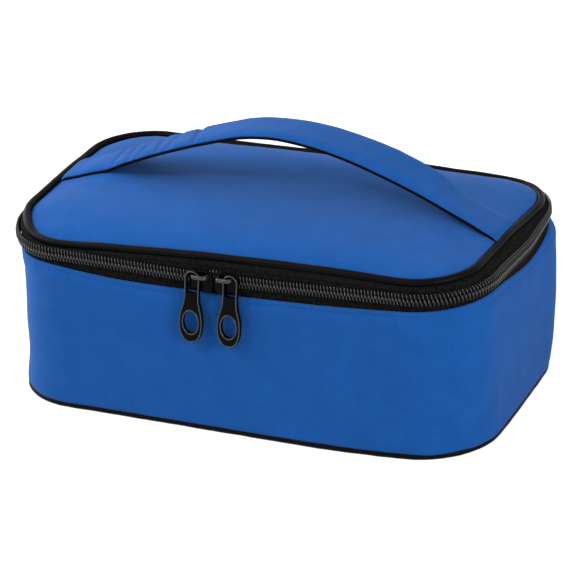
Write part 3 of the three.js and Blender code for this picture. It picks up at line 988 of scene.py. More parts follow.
def sweep_piece(
    name: str, alongs: np.ndarray, section: np.ndarray, heights: np.ndarray, finish: Finish,
    loop: bool = False, on_lid: bool = False,
) -> bpy.types.Object:
    """Sweep a closed section along the outline.

    Args:
        name: The piece's name.
        alongs: Lengths along the outline, one for each row.
        section: Offsets outward, rows by columns, anticlockwise with offsets to the right.
        heights: Heights, rows by columns.
        finish: Its finish.
        loop: The sweep is closed.
        on_lid: The piece follows the lid's edge down, more the nearer it is to the piping.

    Returns:
        The object.
    """
    points = FORM.place(alongs[:, None], section, heights)
    if on_lid:
        follow = np.clip((points[..., 2] - FORM.lid_edge_bottom) / FORM.lid_edge_height, 0, 1)
        points[..., 2] -= FORM.droop(points) * follow
    points = FORM.settled(points)
    run = np.append(alongs, FORM.outline.length if loop else alongs[-1])
    flat = np.stack([section, heights], -1)
    steps = np.linalg.norm(np.diff(flat, axis=1, append=flat[:, :1]), axis=2)
    girth = np.concatenate([np.zeros((len(alongs), 1)), np.cumsum(steps, 1)], 1)
    girth = np.vstack([girth, girth[:1]])
    uv = np.stack([np.broadcast_to(run[:, None], girth.shape), girth], -1)
    return make_piece(name, grid_shell(points, uv, loop=loop, ring=True, caps=not loop), finish)


def rows_between(start: float, end: float, step: float) -> np.ndarray:
    """Lengths from start to end, about a step apart and closer together in the last 4 mm at both ends.

    Args:
        start: The first length.
        end: The last.
        step: The spacing between.

    Returns:
        The lengths.
    """
    close = 4
    near = np.array([0, 0.4, 0.9, 1.6, 2.6])
    count = max(int((end - start - 2 * close) / step), 2)
    return np.concatenate([start + near, np.linspace(start + close, end - close, count), end - near[::-1]])


def rows_round(step: float) -> np.ndarray:
    """Lengths all the way round the outline, about a step apart."""
    return np.linspace(0, FORM.outline.length, int(FORM.outline.length / step), endpoint=False)


def strip_section(line: np.ndarray, thickness: float) -> tuple[np.ndarray, np.ndarray]:
    """A closed section round a centreline of offsets and heights that runs upward, with rounded ends.

    Args:
        line: Rows by points by 2: offset and height.
        thickness: The strip's thickness.

    Returns:
        Offsets and heights, up the outer face and down the inner one.
    """
    ahead = unit(np.gradient(line, axis=1))
    outward = np.stack([ahead[..., 1], -ahead[..., 0]], -1) * thickness / 2
    top = line[:, -1:] + ahead[:, -1:] * thickness * 0.4
    bottom = line[:, :1] - ahead[:, :1] * thickness * 0.4
    section = np.concatenate([line + outward, top, (line - outward)[:, ::-1], bottom], 1)
    return section[..., 0], section[..., 1]


def plan_shell(points: np.ndarray) -> Shell:
    """A closed form of rings round the bag, its UV being X and Y."""
    around = np.concatenate([points, points[:1]], 0)[..., :2]
    return grid_shell(points, around, loop=True, caps=True)


@dataclass
class Walls:
    """The padded walls, each one closed form of cloth over foam, and the stitching along the hem.

    The seam is the length at which the back panel ends. The skin and core lines give offsets at heights.
    """

    finishes: Finishes
    seam: float = 93.0
    seam_gap: float = 0.15
    seam_pinch: float = 0.9
    skin_line: tuple = (
        (2.2, 0.2), (3.2, 1.0), (5, 1.3), (9, 1.5), (25, 2.3), (45, 3.2), (67, 3.9), (90, 3.8),
    )
    core_line: tuple = ((4, -0.2), (40, 2.6), (67, 3.8), (90, 3.8))
    pad: float = 6.3
    cloth_inner: float = 2.75
    notch_bottom: float = 69.0
    notch_offset: float = 1.6
    foam_top: float = 76.0
    foam_bottom: float = 6.9
    bow_height: float = 35.0
    hem_pinch: float = 0.45
    hem_pinch_width: float = 1.1
    hem_roll: tuple = ((0.35, 7.0, 3.0),)
    side_bulge: tuple = ((1.0, 0.0, 48.0, 45.0, 26.0),)
    slow_ripples: tuple = ((0.42, 62, 11), (0.1, 21, 12))
    slow_ripple_bottom: float = 4.0
    slow_ripple_edge: float = 12.0
    hem_gathers: tuple = ((0.12, 8.5, 13), (0.1, 3.4, 15))
    hem_gather_width: float = 3.5
    base_gathers: tuple = ((0.3, 13, 14),)
    base_gather_height: float = 9.0
    base_gather_least: float = 0.25
    row_step: float = 1.6
    skin_points: int = 62
    core_points: int = 14
    stitch_below: float = 2.9
    stitch_length: float = 1.7
    stitch_width: float = 0.5
    stitch_pitch: float = 2.6

    def skin(self, along: np.ndarray, height: np.ndarray) -> np.ndarray:
        """The outer face's offset at lengths along and heights.

        It is the profile, plus the bow of the base seam that dies out upward, plus the roll below the hem's
        stitching less its pinch, plus the right side's bulge, slow ripples, and the gathers at the hem and
        the base.

        Args:
            along: Lengths along the outline.
            height: Heights.

        Returns:
            Offsets outward.
        """
        along, height = np.broadcast_arrays(along, height)
        point, normal = FORM.outline.at(along)
        point = point + normal * 3 + height[..., None] * UP
        below = FORM.hem(along) - height
        profile = smooth_line(height, self.skin_line) + FORM.bow(along) * np.exp(-height / self.bow_height)
        pinch = self.hem_pinch * hump(below - self.stitch_below, self.hem_pinch_width)
        stitching = humps(below, self.hem_roll) - pinch
        side_bulge = mounds(point[..., 1], height, self.side_bulge) * (normal[..., 0] > 0.5)
        above = np.clip((height - self.slow_ripple_bottom) / self.slow_ripple_edge, 0, 1)
        slow = rippled(point, self.slow_ripples) * (above * np.clip(below / self.slow_ripple_edge, 0, 1))
        drawn = np.stack([along, 0 * along, 0.25 * height], -1)
        hem_reach = hump(below - self.stitch_below - 1, self.hem_gather_width)
        at_hem = rippled(drawn, self.hem_gathers) * hem_reach
        facing = np.degrees(np.arctan2(normal[..., 1], normal[..., 0]))
        corner = 1 - np.clip(np.abs(np.abs(facing) % 90 - 45) / 45, 0, 1)
        share = self.base_gather_least + (1 - self.base_gather_least) * corner
        at_base = rippled(drawn, self.base_gathers) * np.exp(-(height - 3) / self.base_gather_height) * share
        return profile + stitching + side_bulge + slow + at_hem + at_base

    def pad_piece(self, name: str, start: float, end: float) -> bpy.types.Object:
        """One padded panel between two lengths: up the skin, over the hem and down the inner face.

        Args:
            name: The piece's name.
            start: The length at which it starts.
            end: The length at which it ends.

        Returns:
            The object.
        """
        rows = rows_between(start, end, self.row_step)[:, None]
        hem = FORM.hem(rows)
        share = (1 - np.cos(np.linspace(0, math.pi, self.skin_points))) / 2
        height = FORM.wall_bottom + (hem - 1.3 - FORM.wall_bottom) * share
        skin = self.skin(rows, height) - self.seam_pinch * (hump(rows - start, 1.2) + hump(rows - end, 1.2))
        top = skin[:, -1:]
        inner_heights = np.linspace(self.foam_top - 0.4, self.foam_bottom, self.core_points)
        inner = smooth_line(inner_heights, self.core_line) - self.pad
        bow = FORM.bow(rows)
        stations = [
            (skin, height),
            (top - 0.08, hem - 0.95),
            (top - 0.28, hem - 0.55),
            (top - 0.56, hem - 0.22),
            (top - 0.9, hem - 0.02),
            (self.cloth_inner + 0.1, hem - 0.1),
            (self.cloth_inner, hem - 0.7),
            (self.cloth_inner, self.notch_bottom + 4),
            (self.cloth_inner, self.notch_bottom),
            (self.notch_offset, self.notch_bottom),
            (self.notch_offset, self.foam_top - 0.4),
            (self.notch_offset - 0.4, self.foam_top),
            (inner[0] + 0.4, self.foam_top),
            (inner, inner_heights),
            (bow - 2.6, self.foam_bottom),
            (bow - 2.2, FORM.wall_bottom + 0.2),
        ]
        pairs = [np.broadcast_arrays(offset, level, rows)[:2] for offset, level in stations]
        section, heights = (np.concatenate(column, 1) for column in zip(*pairs))
        return sweep_piece(name, rows[:, 0], section, heights, self.finishes.blue)

    def hem_stitches(self) -> bpy.types.Object:
        """The row of thread along the hem.

        Returns:
            The object.
        """
        along = np.arange(0, FORM.outline.length - 1, self.stitch_pitch)
        height = FORM.hem(along) - self.stitch_below
        centres = FORM.settled(FORM.place(along, self.skin(along, height) + 0.02, height))
        ahead = unit(np.roll(centres, -1, 0) - np.roll(centres, 1, 0))
        _, normal = FORM.outline.at(along)
        shell = stitch_shell(centres, ahead, normal, self.stitch_length, self.stitch_width)
        return make_piece("hem_stitches", shell, self.finishes.blue_thread)

    def build(self) -> None:
        """Make the walls."""
        start, end = self.seam + self.seam_gap, self.seam - self.seam_gap
        front = self.pad_piece("padded_wall_front_sides", start, FORM.outline.length - start)
        back = self.pad_piece("padded_wall_back", -end, end)
        settle(front, Body.BAG, "wall_front_sides", "foam_front_sides", fill=0.55)
        settle(back, Body.BAG, "wall_back", "foam_back", fill=0.55)
        settle(self.hem_stitches(), Body.BAG)


def slab_shell(
    rings: list[tuple[float, float, float]], step: float,
    shape: Callable[[np.ndarray], np.ndarray] | None = None,
) -> Shell:
    """A closed form of rings stacked from the middle of its underside out and back to the middle of its top.

    Rings under the wall's foam bow out with the base seam.

    Args:
        rings: Share of the way out, offset from the outline and height of each ring.
        step: The spacing of points along the outline.
        shape: Takes the grid of points and gives it back changed.

    Returns:
        The shell.
    """
    along = rows_round(step)[:, None]
    share, offset, height = (np.array(column, float)[None] for column in zip(*rings))
    under_foam = height < Walls.foam_bottom
    points = FORM.place(along, offset + FORM.bow(along) * under_foam * share, height)
    points[..., :2] *= share[..., None]
    if shape is not None:
        points = shape(points)
    return plan_shell(FORM.settled(points))


@dataclass
class Base:
    """The bottom: the cloth, its stiffener and the piping in the base seam."""

    finishes: Finishes
    inset: float = 2.7
    cloth: float = 1.2
    board_bottom: float = 1.5
    board: float = 5.0
    shares: tuple = (0.02, 0.3, 0.6, 0.85, 0.97)
    piping_waver: tuple = ((0.12, 16, 31),)
    piping_swell: tuple = ((0.02, 9, 32),)

    def slab(self, bottom: float, thickness: float) -> Shell:
        """A flat slab with rounded edges.

        Args:
            bottom: The height of its underside.
            thickness: Its thickness.

        Returns:
            The shell.
        """
        edge = -self.inset
        soft = min(0.4, thickness / 3)
        top = bottom + thickness
        rings = [(share, edge - soft, bottom) for share in (*self.shares, 1)]
        rings += [(1, edge, bottom + soft), (1, edge, top - soft)]
        rings += [(share, edge - soft, top) for share in (1, *reversed(self.shares))]
        return slab_shell(rings, 4.0)

    def piping(self) -> Shell:
        """The base piping: a round cord cover, a little uneven where it was sewn.

        Returns:
            The shell.
        """
        along = rows_round(1.6)
        waver = rippled(FORM.place(along, 0.0, 0.0), self.piping_waver)
        offset = -FORM.base_piping_inset + FORM.bow(along) + waver
        path = FORM.settled(FORM.place(along, offset, FORM.base_piping_radius))
        radius = FORM.base_piping_radius * (1 + rippled(path, self.piping_swell))
        return tube_shell(path, radius, FORM.outline.at(along)[1], 16, loop=True)

    def build(self) -> None:
        """Make the base."""
        cloth = make_piece("base_cloth", self.slab(0, self.cloth), self.finishes.blue)
        settle(cloth, Body.BAG, "base_panel")
        board = make_piece("base_stiffener", self.slab(self.board_bottom, self.board), self.finishes.foam)
        settle(board, Body.BAG, "base_board")
        piping = make_piece("base_piping_cover", self.piping(), self.finishes.piping)
        settle(piping, Body.BAG, "base_piping")


@dataclass
class Liner:
    """The sewn tub of silver film and the tape that binds its rim."""

    finishes: Finishes
    behind: float = 6.65
    film: float = 0.8
    bottom: float = 6.9
    top: float = 76.0
    shares: tuple = (0.02, 0.25, 0.45, 0.62, 0.76, 0.87, 0.94, 0.98)
    step: float = 2.5
    crinkles: tuple = ((0.35, 17, 41), (0.15, 7, 42))
    bead: tuple = (
        (1.6, 74.2), (1.65, 76.5), (1.2, 77.8), (0.3, 78.4), (-2.4, 78.5), (-3.6, 78.1), (-4.2, 77.0),
        (-4.3, 74.2), (-3.8, 73.9), (0.8, 73.9),
    )
    bead_ripples: tuple = ((0.08, 9, 43),)

    def crinkled(self, points: np.ndarray) -> np.ndarray:
        """Crease the inner face's film inward off the walls and up off the floor, never outward.

        Args:
            points: The tub's grid of points.

        Returns:
            The moved points.
        """
        depth = rippled(points, self.crinkles, crinkled=True)
        inner = np.arange(points.shape[1]) >= points.shape[1] // 2
        _, normal = FORM.outline.at(rows_round(self.step))
        height = points[..., 2]
        upright = np.clip((height - 10) / 6, 0, 1) * np.clip((self.top - height) / 4, 0, 1)
        shift = -normal[:, None] * (depth * upright * inner)[..., None]
        lift = depth * (1 - np.clip((height - 8) / 3, 0, 1)) * inner
        return points + shift + lift[..., None] * UP

    def tub(self) -> Shell:
        """The tub: up the outside from the middle of its floor, and down the inside.

        Returns:
            The shell.
        """
        levels = np.linspace(self.bottom, self.top, 24)
        outer = np.interp(levels, *np.array(Walls.core_line, float).T) - self.behind
        floor = self.bottom + self.film
        rings = [(share, outer[0], self.bottom) for share in self.shares]
        side = list(zip(outer, levels))
        rings += [(1, offset, level) for offset, level in side]
        rings += [(1, offset - self.film, max(level, floor)) for offset, level in reversed(side)]
        rings += [(share, outer[0] - self.film, floor) for share in reversed(self.shares)]
        return slab_shell(rings, self.step, self.crinkled)

    def build(self) -> None:
        """Make the liner."""
        settle(make_piece("liner_tub_film", self.tub(), self.finishes.liner), Body.BAG, "liner_tub")
        rows = rows_round(self.step)
        offset, height = np.array(self.bead).T
        uneven = rippled(FORM.place(rows[:, None], 0.0, height), self.bead_ripples)
        binding = sweep_piece("rim_binding_tape", rows, offset + uneven * 0.5, height + uneven,
                              self.finishes.black_binding, loop=True)
        settle(binding, Body.BAG, "rim_binding")


@dataclass
class Zip:
    """The zip: two tapes, two coils with their sewing thread, and the cloth hinge behind them.

    A coil's slant is how far its wire is moved along at the row's edges, in turns. Its heads are the
    flattened loops that lock into the other row, and head_out says how far each row's stand out. The
    places where the hinge folds, in metres, are given but not used.
    """

    finishes: Finishes
    end: float = 85.0
    coil_end: float = 87.4
    hinge_end: float = 84.7
    tape_middle: float = 2.2
    tape_thickness: float = 0.6
    tape_bottom: float = 69.3
    tape_top: float = 92.3
    tape_off_line: float = 0.5
    upper_lean: tuple = ((86, 2.2), (88.6, 2.2), (89.3, 1.8), (90.3, 2.1), (91.3, 1.4), (92.3, -0.5))
    hinge_fold: tuple = (82.0, 82.5, 88.5)
    hinge_overlap: float = 89.0
    fold_start: tuple = (0, 0.0702, 0.084)
    fold_end: tuple = (0, 0.0702, 0.0885)
    pitch: float = 1.78
    wire: float = 0.3
    slant: float = -0.11
    stagger: float = 0.9
    head_height: float = 0.15
    head_length: float = 1.7
    head_width: float = 1.0
    upper_head_out: float = 0.5
    lower_head_out: float = -0.3
    coil_middle: float = 3.95
    coil_half_depth: float = 0.7
    row_middle: float = 1.62
    row_half: float = 1.3
    turn_points: int = 12
    row_step: float = 1.8
    filler_step: float = 0.9
    cord_radius: float = 0.75
    cord_behind: float = 0.15
    thread_radius: float = 0.2
    thread_off_row: float = 0.55
    thread_wave: tuple = (0.25, 0.1)
    parting_half: float = 9.0
    parting_up: float = 2.2
    parting_down: float = 0.8

    def parting(self, along: np.ndarray, side: int) -> np.ndarray:
        """How far a row stands off the zip's line: cos squared between the two sliders, else nothing.

        Args:
            along: Lengths along the outline.
            side: 1 for the upper row, -1 for the lower.

        Returns:
            Distances up.
        """
        distance = (along - FORM.outline.length / 2 - FORM.zip_meet_x) / self.parting_half
        reach = self.parting_up if side > 0 else self.parting_down
        wave = np.cos(np.clip(distance, -1, 1) * math.pi / 2) ** 2
        return side * reach * np.where(np.abs(distance) < 1, wave, 0)

    def row_height(self, along: np.ndarray, side: int, off: float) -> np.ndarray:
        """The height of what lies a distance off the zip's line, in the row on a side of it."""
        return FORM.zip_line(along) + side * off + self.parting(along, side)

    def coil(self, side: int) -> Shell:
        """One coil: a helix whose section is a rounded box, running along the zip's line.

        Its place along is turn + a * sin(2 pi turn) with a below 0, so that its outer loops stand steeper.

        Args:
            side: 1 for the upper row, -1 for the lower.

        Returns:
            The shell of the wire and of the flattened heads that lock into the other row.
        """
        start, end = self.coil_end, FORM.outline.length - self.coil_end
        turns = int((end - start) / self.pitch)
        turn = np.linspace(0, turns, turns * self.turn_points + 1)
        angle = 2 * math.pi * turn
        behind = self.stagger * (side < 0)
        along = start + (end - start) * (turn + self.slant * np.sin(angle)) / turns + behind
        c, s = np.cos(angle), np.sin(angle)
        box = (np.abs(c) ** 4 + np.abs(s) ** 4) ** (-1 / 4)
        offset = self.coil_middle + self.coil_half_depth * box * c
        row = self.row_height(along, side, self.row_middle)
        path = FORM.settled(FORM.place(along, offset, row - self.row_half * box * s))
        centre = FORM.settled(FORM.place(along, self.coil_middle, row))
        across = path - centre + FORM.outline.at(along)[1] * 0.05
        wire = tube_shell(path, self.wire, across, 6)
        at = start + (end - start) * (np.arange(turns) + 0.25 * side) / turns + behind
        out = FORM.outline.at(at)[1]
        head_out = self.upper_head_out if side > 0 else self.lower_head_out
        offset = self.coil_middle + self.coil_half_depth + head_out
        places = FORM.settled(FORM.place(at, offset, self.row_height(at, side, self.head_height)))
        upright = np.cross(out, unit(np.gradient(places, axis=0)))
        return wire + stitch_shell(places, upright, out, self.head_length, self.head_width)

    def filler(self, side: int) -> Shell:
        """The cord inside a coil and the wavy line of thread that holds it down.

        Args:
            side: 1 for the upper row, -1 for the lower.

        Returns:
            The shell of both.
        """
        along = np.arange(self.coil_end, FORM.outline.length - self.coil_end, self.filler_step)
        row = self.row_height(along, side, self.row_middle)
        out = FORM.outline.at(along)[1]
        path = FORM.settled(FORM.place(along, self.coil_middle - self.cord_behind, row))
        phase = along * 2 * math.pi / self.pitch
        out_wave, up_wave = self.thread_wave
        face = self.coil_middle + self.coil_half_depth + out_wave * np.cos(phase)
        level = row + side * self.thread_off_row + up_wave * np.sin(phase)
        seam = FORM.settled(FORM.place(along, face, level))
        return tube_shell(path, self.cord_radius, out, 8) + tube_shell(seam, self.thread_radius, out, 5)

    def lower_tape(self) -> bpy.types.Object:
        """The lower tape, upright behind the hem and the lower coil.

        Returns:
            The object.
        """
        rows = rows_between(self.end, FORM.outline.length - self.end, self.row_step)[:, None]
        top = self.row_height(rows, -1, self.tape_off_line)
        height = self.tape_bottom + (top - self.tape_bottom) * np.linspace(0, 1, 14)
        line = np.stack([np.full_like(height, self.tape_middle), height], -1)
        section, heights = strip_section(line, self.tape_thickness)
        return sweep_piece("zip_tape_lower_cloth", rows[:, 0], section, heights, self.finishes.black_tape)

    def upper_line(self, start: np.ndarray) -> np.ndarray:
        """The upper tape's centreline: upright behind the coil, then leaning in under the lid's piping."""
        height = start + (self.tape_top - start) * np.linspace(0, 1, 22)
        return np.stack([smooth_line(height, self.upper_lean), height], -1)

    def upper_tape(self) -> bpy.types.Object:
        """The upper tape.

        Returns:
            The object.
        """
        rows = rows_between(self.end, FORM.outline.length - self.end, self.row_step)[:, None]
        line = self.upper_line(self.row_height(rows, 1, self.tape_off_line))
        section, heights = strip_section(line, self.tape_thickness)
        return sweep_piece("zip_tape_upper_cloth", rows[:, 0], section, heights, self.finishes.black_tape,
                           on_lid=True)

    def hinge(self) -> bpy.types.Object:
        """The strip along the back that the lid folds on, from behind the back's hem to the lid's piping.

        Returns:
            The object.
        """
        rows = rows_between(-self.hinge_end, self.hinge_end, 3.0)[:, None]
        below, start, end = self.hinge_fold
        levels = np.concatenate([np.linspace(self.tape_bottom, below, 8), np.linspace(start, end, 13)])
        height = levels * np.ones_like(rows)
        low = np.stack([np.full_like(height, self.tape_middle), height], -1)
        line = np.concatenate([low, self.upper_line(np.full_like(rows, self.hinge_overlap))], 1)
        section, heights = strip_section(line, self.tape_thickness)
        return sweep_piece("cloth_hinge", rows[:, 0], section, heights, self.finishes.black_binding,
                           on_lid=True)

    def build(self) -> None:
        """Make the zip and the cloth hinge."""
        settle(self.lower_tape(), Body.BAG, "zip_tape_lower")
        settle(self.upper_tape(), Body.LID, "zip_tape_upper")
        for side, row, body in ((-1, "lower", Body.BAG), (1, "upper", Body.LID)):
            coil = make_piece(f"zip_coil_{row}_wire", self.coil(side), self.finishes.coil)
            settle(coil, body, f"zip_coil_{row}")
            settle(make_piece(f"zip_filler_{row}", self.filler(side), self.finishes.black_thread), body)
        hinge = self.hinge()
        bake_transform(hinge)
        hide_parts("hinge_strip", "lid_back_band")
        for stop in ("zip_stop_left", "zip_stop_right"):
            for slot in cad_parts[stop].material_slots:
                slot.material = self.finishes.casting.material


@dataclass
class Lid:
    """The lid: a pad of blue cloth over foam, a film under it, black piping and a binding in its seam."""

    finishes: Finishes
    inset: float = 2.9
    under_edge: float = 89.6
    under_crown: float = 6.6
    film_top: float = 89.2
    film: float = 0.5
    under_shares: tuple = (0.015, 0.3, 0.5, 0.66, 0.78, 0.87, 0.93, 0.97, 1.0)
    edge_gathers: tuple = ((0.1, 7, 51),)
    edge_gather_reach: float = 6.0
    crinkles: tuple = ((0.35, 15, 52), (0.15, 6, 53))
    piping_waver: tuple = ((0.12, 30, 54),)
    piping_swell: tuple = ((0.02, 9, 55),)
    binding_box: tuple = (
        (-0.9, 88.9), (-0.7, 89.3), (-0.8, 91.2), (-1.2, 91.6), (-2.8, 91.6), (-3.3, 91.1), (-4.6, 88.9),
        (-4.3, 88.3), (-1.3, 88.5),
    )

    def grid(self, shares: np.ndarray) -> tuple[np.ndarray, np.ndarray, np.ndarray]:
        """Points on the plan of the lid, at shares of the way from the middle to the seam.

        Args:
            shares: Shares of the way from the middle to the seam.

        Returns:
            The points, their shares, and how far the seam is from the middle, square to the seam.
        """
        along = rows_round(2.0)[:, None]
        edge = FORM.place(along, -self.inset, 0.0)
        _, normal = FORM.outline.at(along)
        rim = (edge * normal).sum(-1)
        return edge * shares[None, :, None], np.broadcast_to(shares, (len(along), len(shares))), rim

    def under(self, points: np.ndarray, share: np.ndarray, rim: np.ndarray) -> np.ndarray:
        """How far the lid's underside rises above its edge, which hangs a third as much as the piping."""
        dome = FORM.dome(points[..., 0], points[..., 1], (1 - share) * rim)
        return self.under_crown * dome - FORM.droop(points) * share**2 / 3

    def pad(self) -> Shell:
        """The pad: its top is the lid surface, and its underside a shallower dome.

        Returns:
            The shell.
        """
        out = np.concatenate([np.linspace(0.015, 0.7, 22)[:-1], 1 - 0.3 * np.linspace(1, 0, 34) ** 1.8])
        top, share, rim = self.grid(out)
        top[..., 2] = FORM.lid_surface(top[..., 0], top[..., 1], share, rim)
        inward = (1 - share) * rim
        fading = np.exp(-inward / self.edge_gather_reach)
        top[..., 2] += rippled(top, self.edge_gathers) * fading * np.clip(inward, 0, 1)
        low, share, rim = self.grid(np.array(self.under_shares))
        low[..., 2] = self.under_edge + self.under(low, share, rim)
        return plan_shell(FORM.settled(np.concatenate([low, top[:, ::-1]], 1)))

    def film_shell(self) -> Shell:
        """The film under the lid, crinkled downward.

        Returns:
            The shell.
        """
        low, share, rim = self.grid(np.concatenate([np.linspace(0.02, 0.9, 26), [0.94, 0.97, 0.99]]))
        dome = self.under(low, share, rim)
        crinkle = rippled(low, self.crinkles, crinkled=True)
        top = low.copy()
        low[..., 2] = self.film_top - self.film + dome - crinkle
        top[..., 2] = self.film_top + dome
        return plan_shell(FORM.settled(np.concatenate([low, top[:, ::-1]], 1)))

    def piping(self) -> Shell:
        """The lid's piping, drawn in and up where the strap's ends are sewn into it.

        Returns:
            The shell.
        """
        along = rows_round(1.4)
        path = FORM.place(along, -FORM.lid_piping_inset, FORM.lid_piping_height)
        path[..., 2] += rippled(path, self.piping_waver) - FORM.droop(path)
        path = FORM.settled(path)
        radius = FORM.lid_piping_radius * (1 + rippled(path, self.piping_swell))
        return tube_shell(path, radius, FORM.outline.at(along)[1], 20, loop=True)

    def build(self) -> None:
        """Make the lid."""
        pad = make_piece("padded_lid", self.pad(), self.finishes.blue)
        settle(pad, Body.LID, "lid_panel", "lid_foam", fill=0.6)
        settle(make_piece("lid_film", self.film_shell(), self.finishes.liner), Body.LID, "lid_liner")
        piping = make_piece("lid_piping_cover", self.piping(), self.finishes.piping)
        settle(piping, Body.LID, "lid_piping")
        rows = rows_round(2.5)
        section, heights = (column * np.ones((len(rows), 1)) for column in np.array(self.binding_box).T)
        binding = sweep_piece("lid_seam_binding", rows, section, heights, self.finishes.black_binding,
                              loop=True, on_lid=True)
        settle(binding, Body.LID, "lid_rim_binding")


@dataclass
class Handle:
    """The carry strap: a padded blue cover over a black backing, flat on the lid at both ends.

    The two edge lines give the free arch's height at X. The backing's and the cover's heights are taken
    off the strap's middle surface. The landing is how softly the arch comes down onto the lid.
    """

    finishes: Finishes
    half_width: float = 12.7
    left_y: float = 8.2
    right_y: float = 0.0
    end_x: float = 123.2
    sewn_length: float = 4.0
    seat: float = 1.8
    end_dive: float = 2.4
    backing_low: float = -2.2
    backing_high: float = -0.5
    backing_wider: float = 1.012
    backing_hollow: float = 0.25
    landing: float = 1.2
    crown: float = 2.2
    crown_power: int = 5
    sewn_thinner: float = 0.4
    thin_share: float = 0.62
    thin_from: float = 112.0
    thin_length: float = 16.0
    front_edge: tuple = (
        (-125, 88), (-95, 104.2), (-85, 109.3), (-75, 113.6), (-55, 121.3), (-35, 127.9), (-15, 133.2),
        (0, 134.6), (20, 132.9), (40, 128.6), (60, 122.2), (80, 114.6), (95, 108.3), (110, 101.9), (125, 94),
    )
    back_edge: tuple = (
        (-125, 90), (-95, 104.8), (-75, 113.0), (-55, 120.4), (-35, 127.3), (-15, 132.7), (0, 133.9),
        (20, 133.2), (40, 129.7), (60, 124.2), (80, 115.4), (95, 106.0), (125, 90),
    )
    creases: tuple = (-92, -84.5, -77, -68, -60, -47)
    crease_width: float = 1.6
    crease_lean: tuple = (0.12, 0.24)
    crease_depth: tuple = (0.9, 1.2)
    cover_ripples: tuple = ((0.09, 11, 61),)
    stitch_in: float = 2.6
    stitch_sunk: float = 0.05
    stitch_length: float = 2.2
    stitch_width: float = 0.34
    stitch_pitch: float = 3.1
    bend_start: tuple = (0, 0.004, 0.104)
    bend_end: tuple = (0, 0.004, 0.113)

    def sewn(self, x: np.ndarray) -> np.ndarray:
        """How tightly the seam under the piping holds the strap: 1 at its ends, 0 from 4 mm in."""
        return np.clip((np.abs(x) - self.end_x + self.sewn_length) / self.sewn_length, 0, 1) ** 2

    def middle(self, x: np.ndarray, w: np.ndarray) -> np.ndarray:
        """The strap's middle surface: an arch between its two edge lines, and the lid where that is higher.

        Args:
            x: Places along the strap.
            w: Distances across it, positive toward the back.

        Returns:
            Points.
        """
        y = self.left_y + (self.right_y - self.left_y) * (x + self.end_x) / (2 * self.end_x) + w
        share = np.clip(w / (2 * self.half_width) + 0.5, 0, 1)
        arch = smooth_line(x, self.front_edge) * (1 - share) + smooth_line(x, self.back_edge) * share
        seam_x, seam_y = FORM.outline.width / 2 - Lid.inset, FORM.outline.depth / 2 - Lid.inset
        out = np.maximum(np.abs(x) / seam_x, np.abs(y) / seam_y)
        seat = self.seat - self.end_dive * self.sewn(x)
        lid = FORM.lid_surface(x, y, np.clip(out, 0, 1), np.full_like(out, seam_x)) + seat
        return np.stack([x, y, larger(arch, lid, self.landing)], -1)

    def surface(self, x: np.ndarray, w: np.ndarray, h: np.ndarray) -> np.ndarray:
        """Points at a height off the middle surface, square to it.

        Args:
            x: Places along the strap.
            w: Distances across it.
            h: Heights off the middle surface.

        Returns:
            Points.
        """
        step = 0.4
        along = self.middle(x + step, w) - self.middle(x - step, w)
        across = self.middle(x, w + step) - self.middle(x, w - step)
        return FORM.settled(self.middle(x, w) + unit(np.cross(along, across)) * h[..., None])

    def top_height(self, x: np.ndarray, w: np.ndarray) -> np.ndarray:
        """The cover's height: a crown across the strap, thinner on the sewn ends, nicked by the creases.

        Args:
            x: Places along the strap.
            w: Distances across it.

        Returns:
            Heights off the middle surface.
        """
        round_off = np.clip(1 - np.abs(w / self.half_width) ** self.crown_power, 0, 1) ** 0.5
        thick = np.clip((self.thin_from - np.abs(x)) / self.thin_length, 0, 1)
        padded = (self.thin_share + (1 - self.thin_share) * thick) * (1 - self.sewn_thinner * self.sewn(x))
        height = self.backing_high + self.crown * round_off * padded
        for at, centre in enumerate(self.creases):
            line = x + self.crease_lean[at % 2] * w - centre
            height = height - self.crease_depth[at % 2] * hump(line, self.crease_width) * round_off
        return height + rippled(np.stack([x, w, 0 * x], -1), self.cover_ripples) * round_off

    def strip(self, name: str, top: bool, finish: Finish) -> bpy.types.Object:
        """The cover or the backing, from one end of the strap to the other.

        Its section runs over the top from front to back, and back along the underside.

        Args:
            name: The piece's name.
            top: It is the cover.
            finish: Its finish.

        Returns:
            The object.
        """
        x = np.linspace(-self.end_x, self.end_x, 300)[:, None]
        w = self.half_width * np.sin(np.linspace(-math.pi / 2, math.pi / 2, 30))
        over, under = (w, w[-2:0:-3]) if top else (np.append(w[::3], w[-1]), w[-2:0:-3])
        turn = len(over)
        x, w = np.broadcast_arrays(x, np.concatenate([over, under]) * (1 if top else self.backing_wider))
        if top:
            h = self.top_height(x, w)
            h[:, turn:] = self.backing_high
        else:
            h = np.full(x.shape, self.backing_high)
            h[:, turn:] = self.backing_low + self.backing_hollow * np.abs(w[:, turn:] / self.half_width) ** 8
        uv = np.stack([x, w], -1)
        uv = np.concatenate([uv, uv[:, :1]], 1)
        uv = np.concatenate([uv, uv[-1:]], 0)
        return make_piece(name, grid_shell(self.surface(x, w, h), uv, ring=True, caps=True), finish)

    def stitches(self) -> bpy.types.Object:
        """A row of thread near each long edge.

        Returns:
            The object.
        """
        x = np.arange(-self.end_x + 3, self.end_x - 3, self.stitch_pitch)
        shell = Shell.empty()
        for side in (-1, 1):
            w = np.full_like(x, side * (self.half_width - self.stitch_in))
            h = self.top_height(x, w) - self.stitch_sunk
            centres = self.surface(x, w, h)
            ahead = unit(np.gradient(centres, axis=0))
            out = unit(self.surface(x, w, h + 1) - centres)
            shell = shell + stitch_shell(centres, ahead, out, self.stitch_length, self.stitch_width)
        return make_piece("strap_stitches", shell, self.finishes.blue_thread)

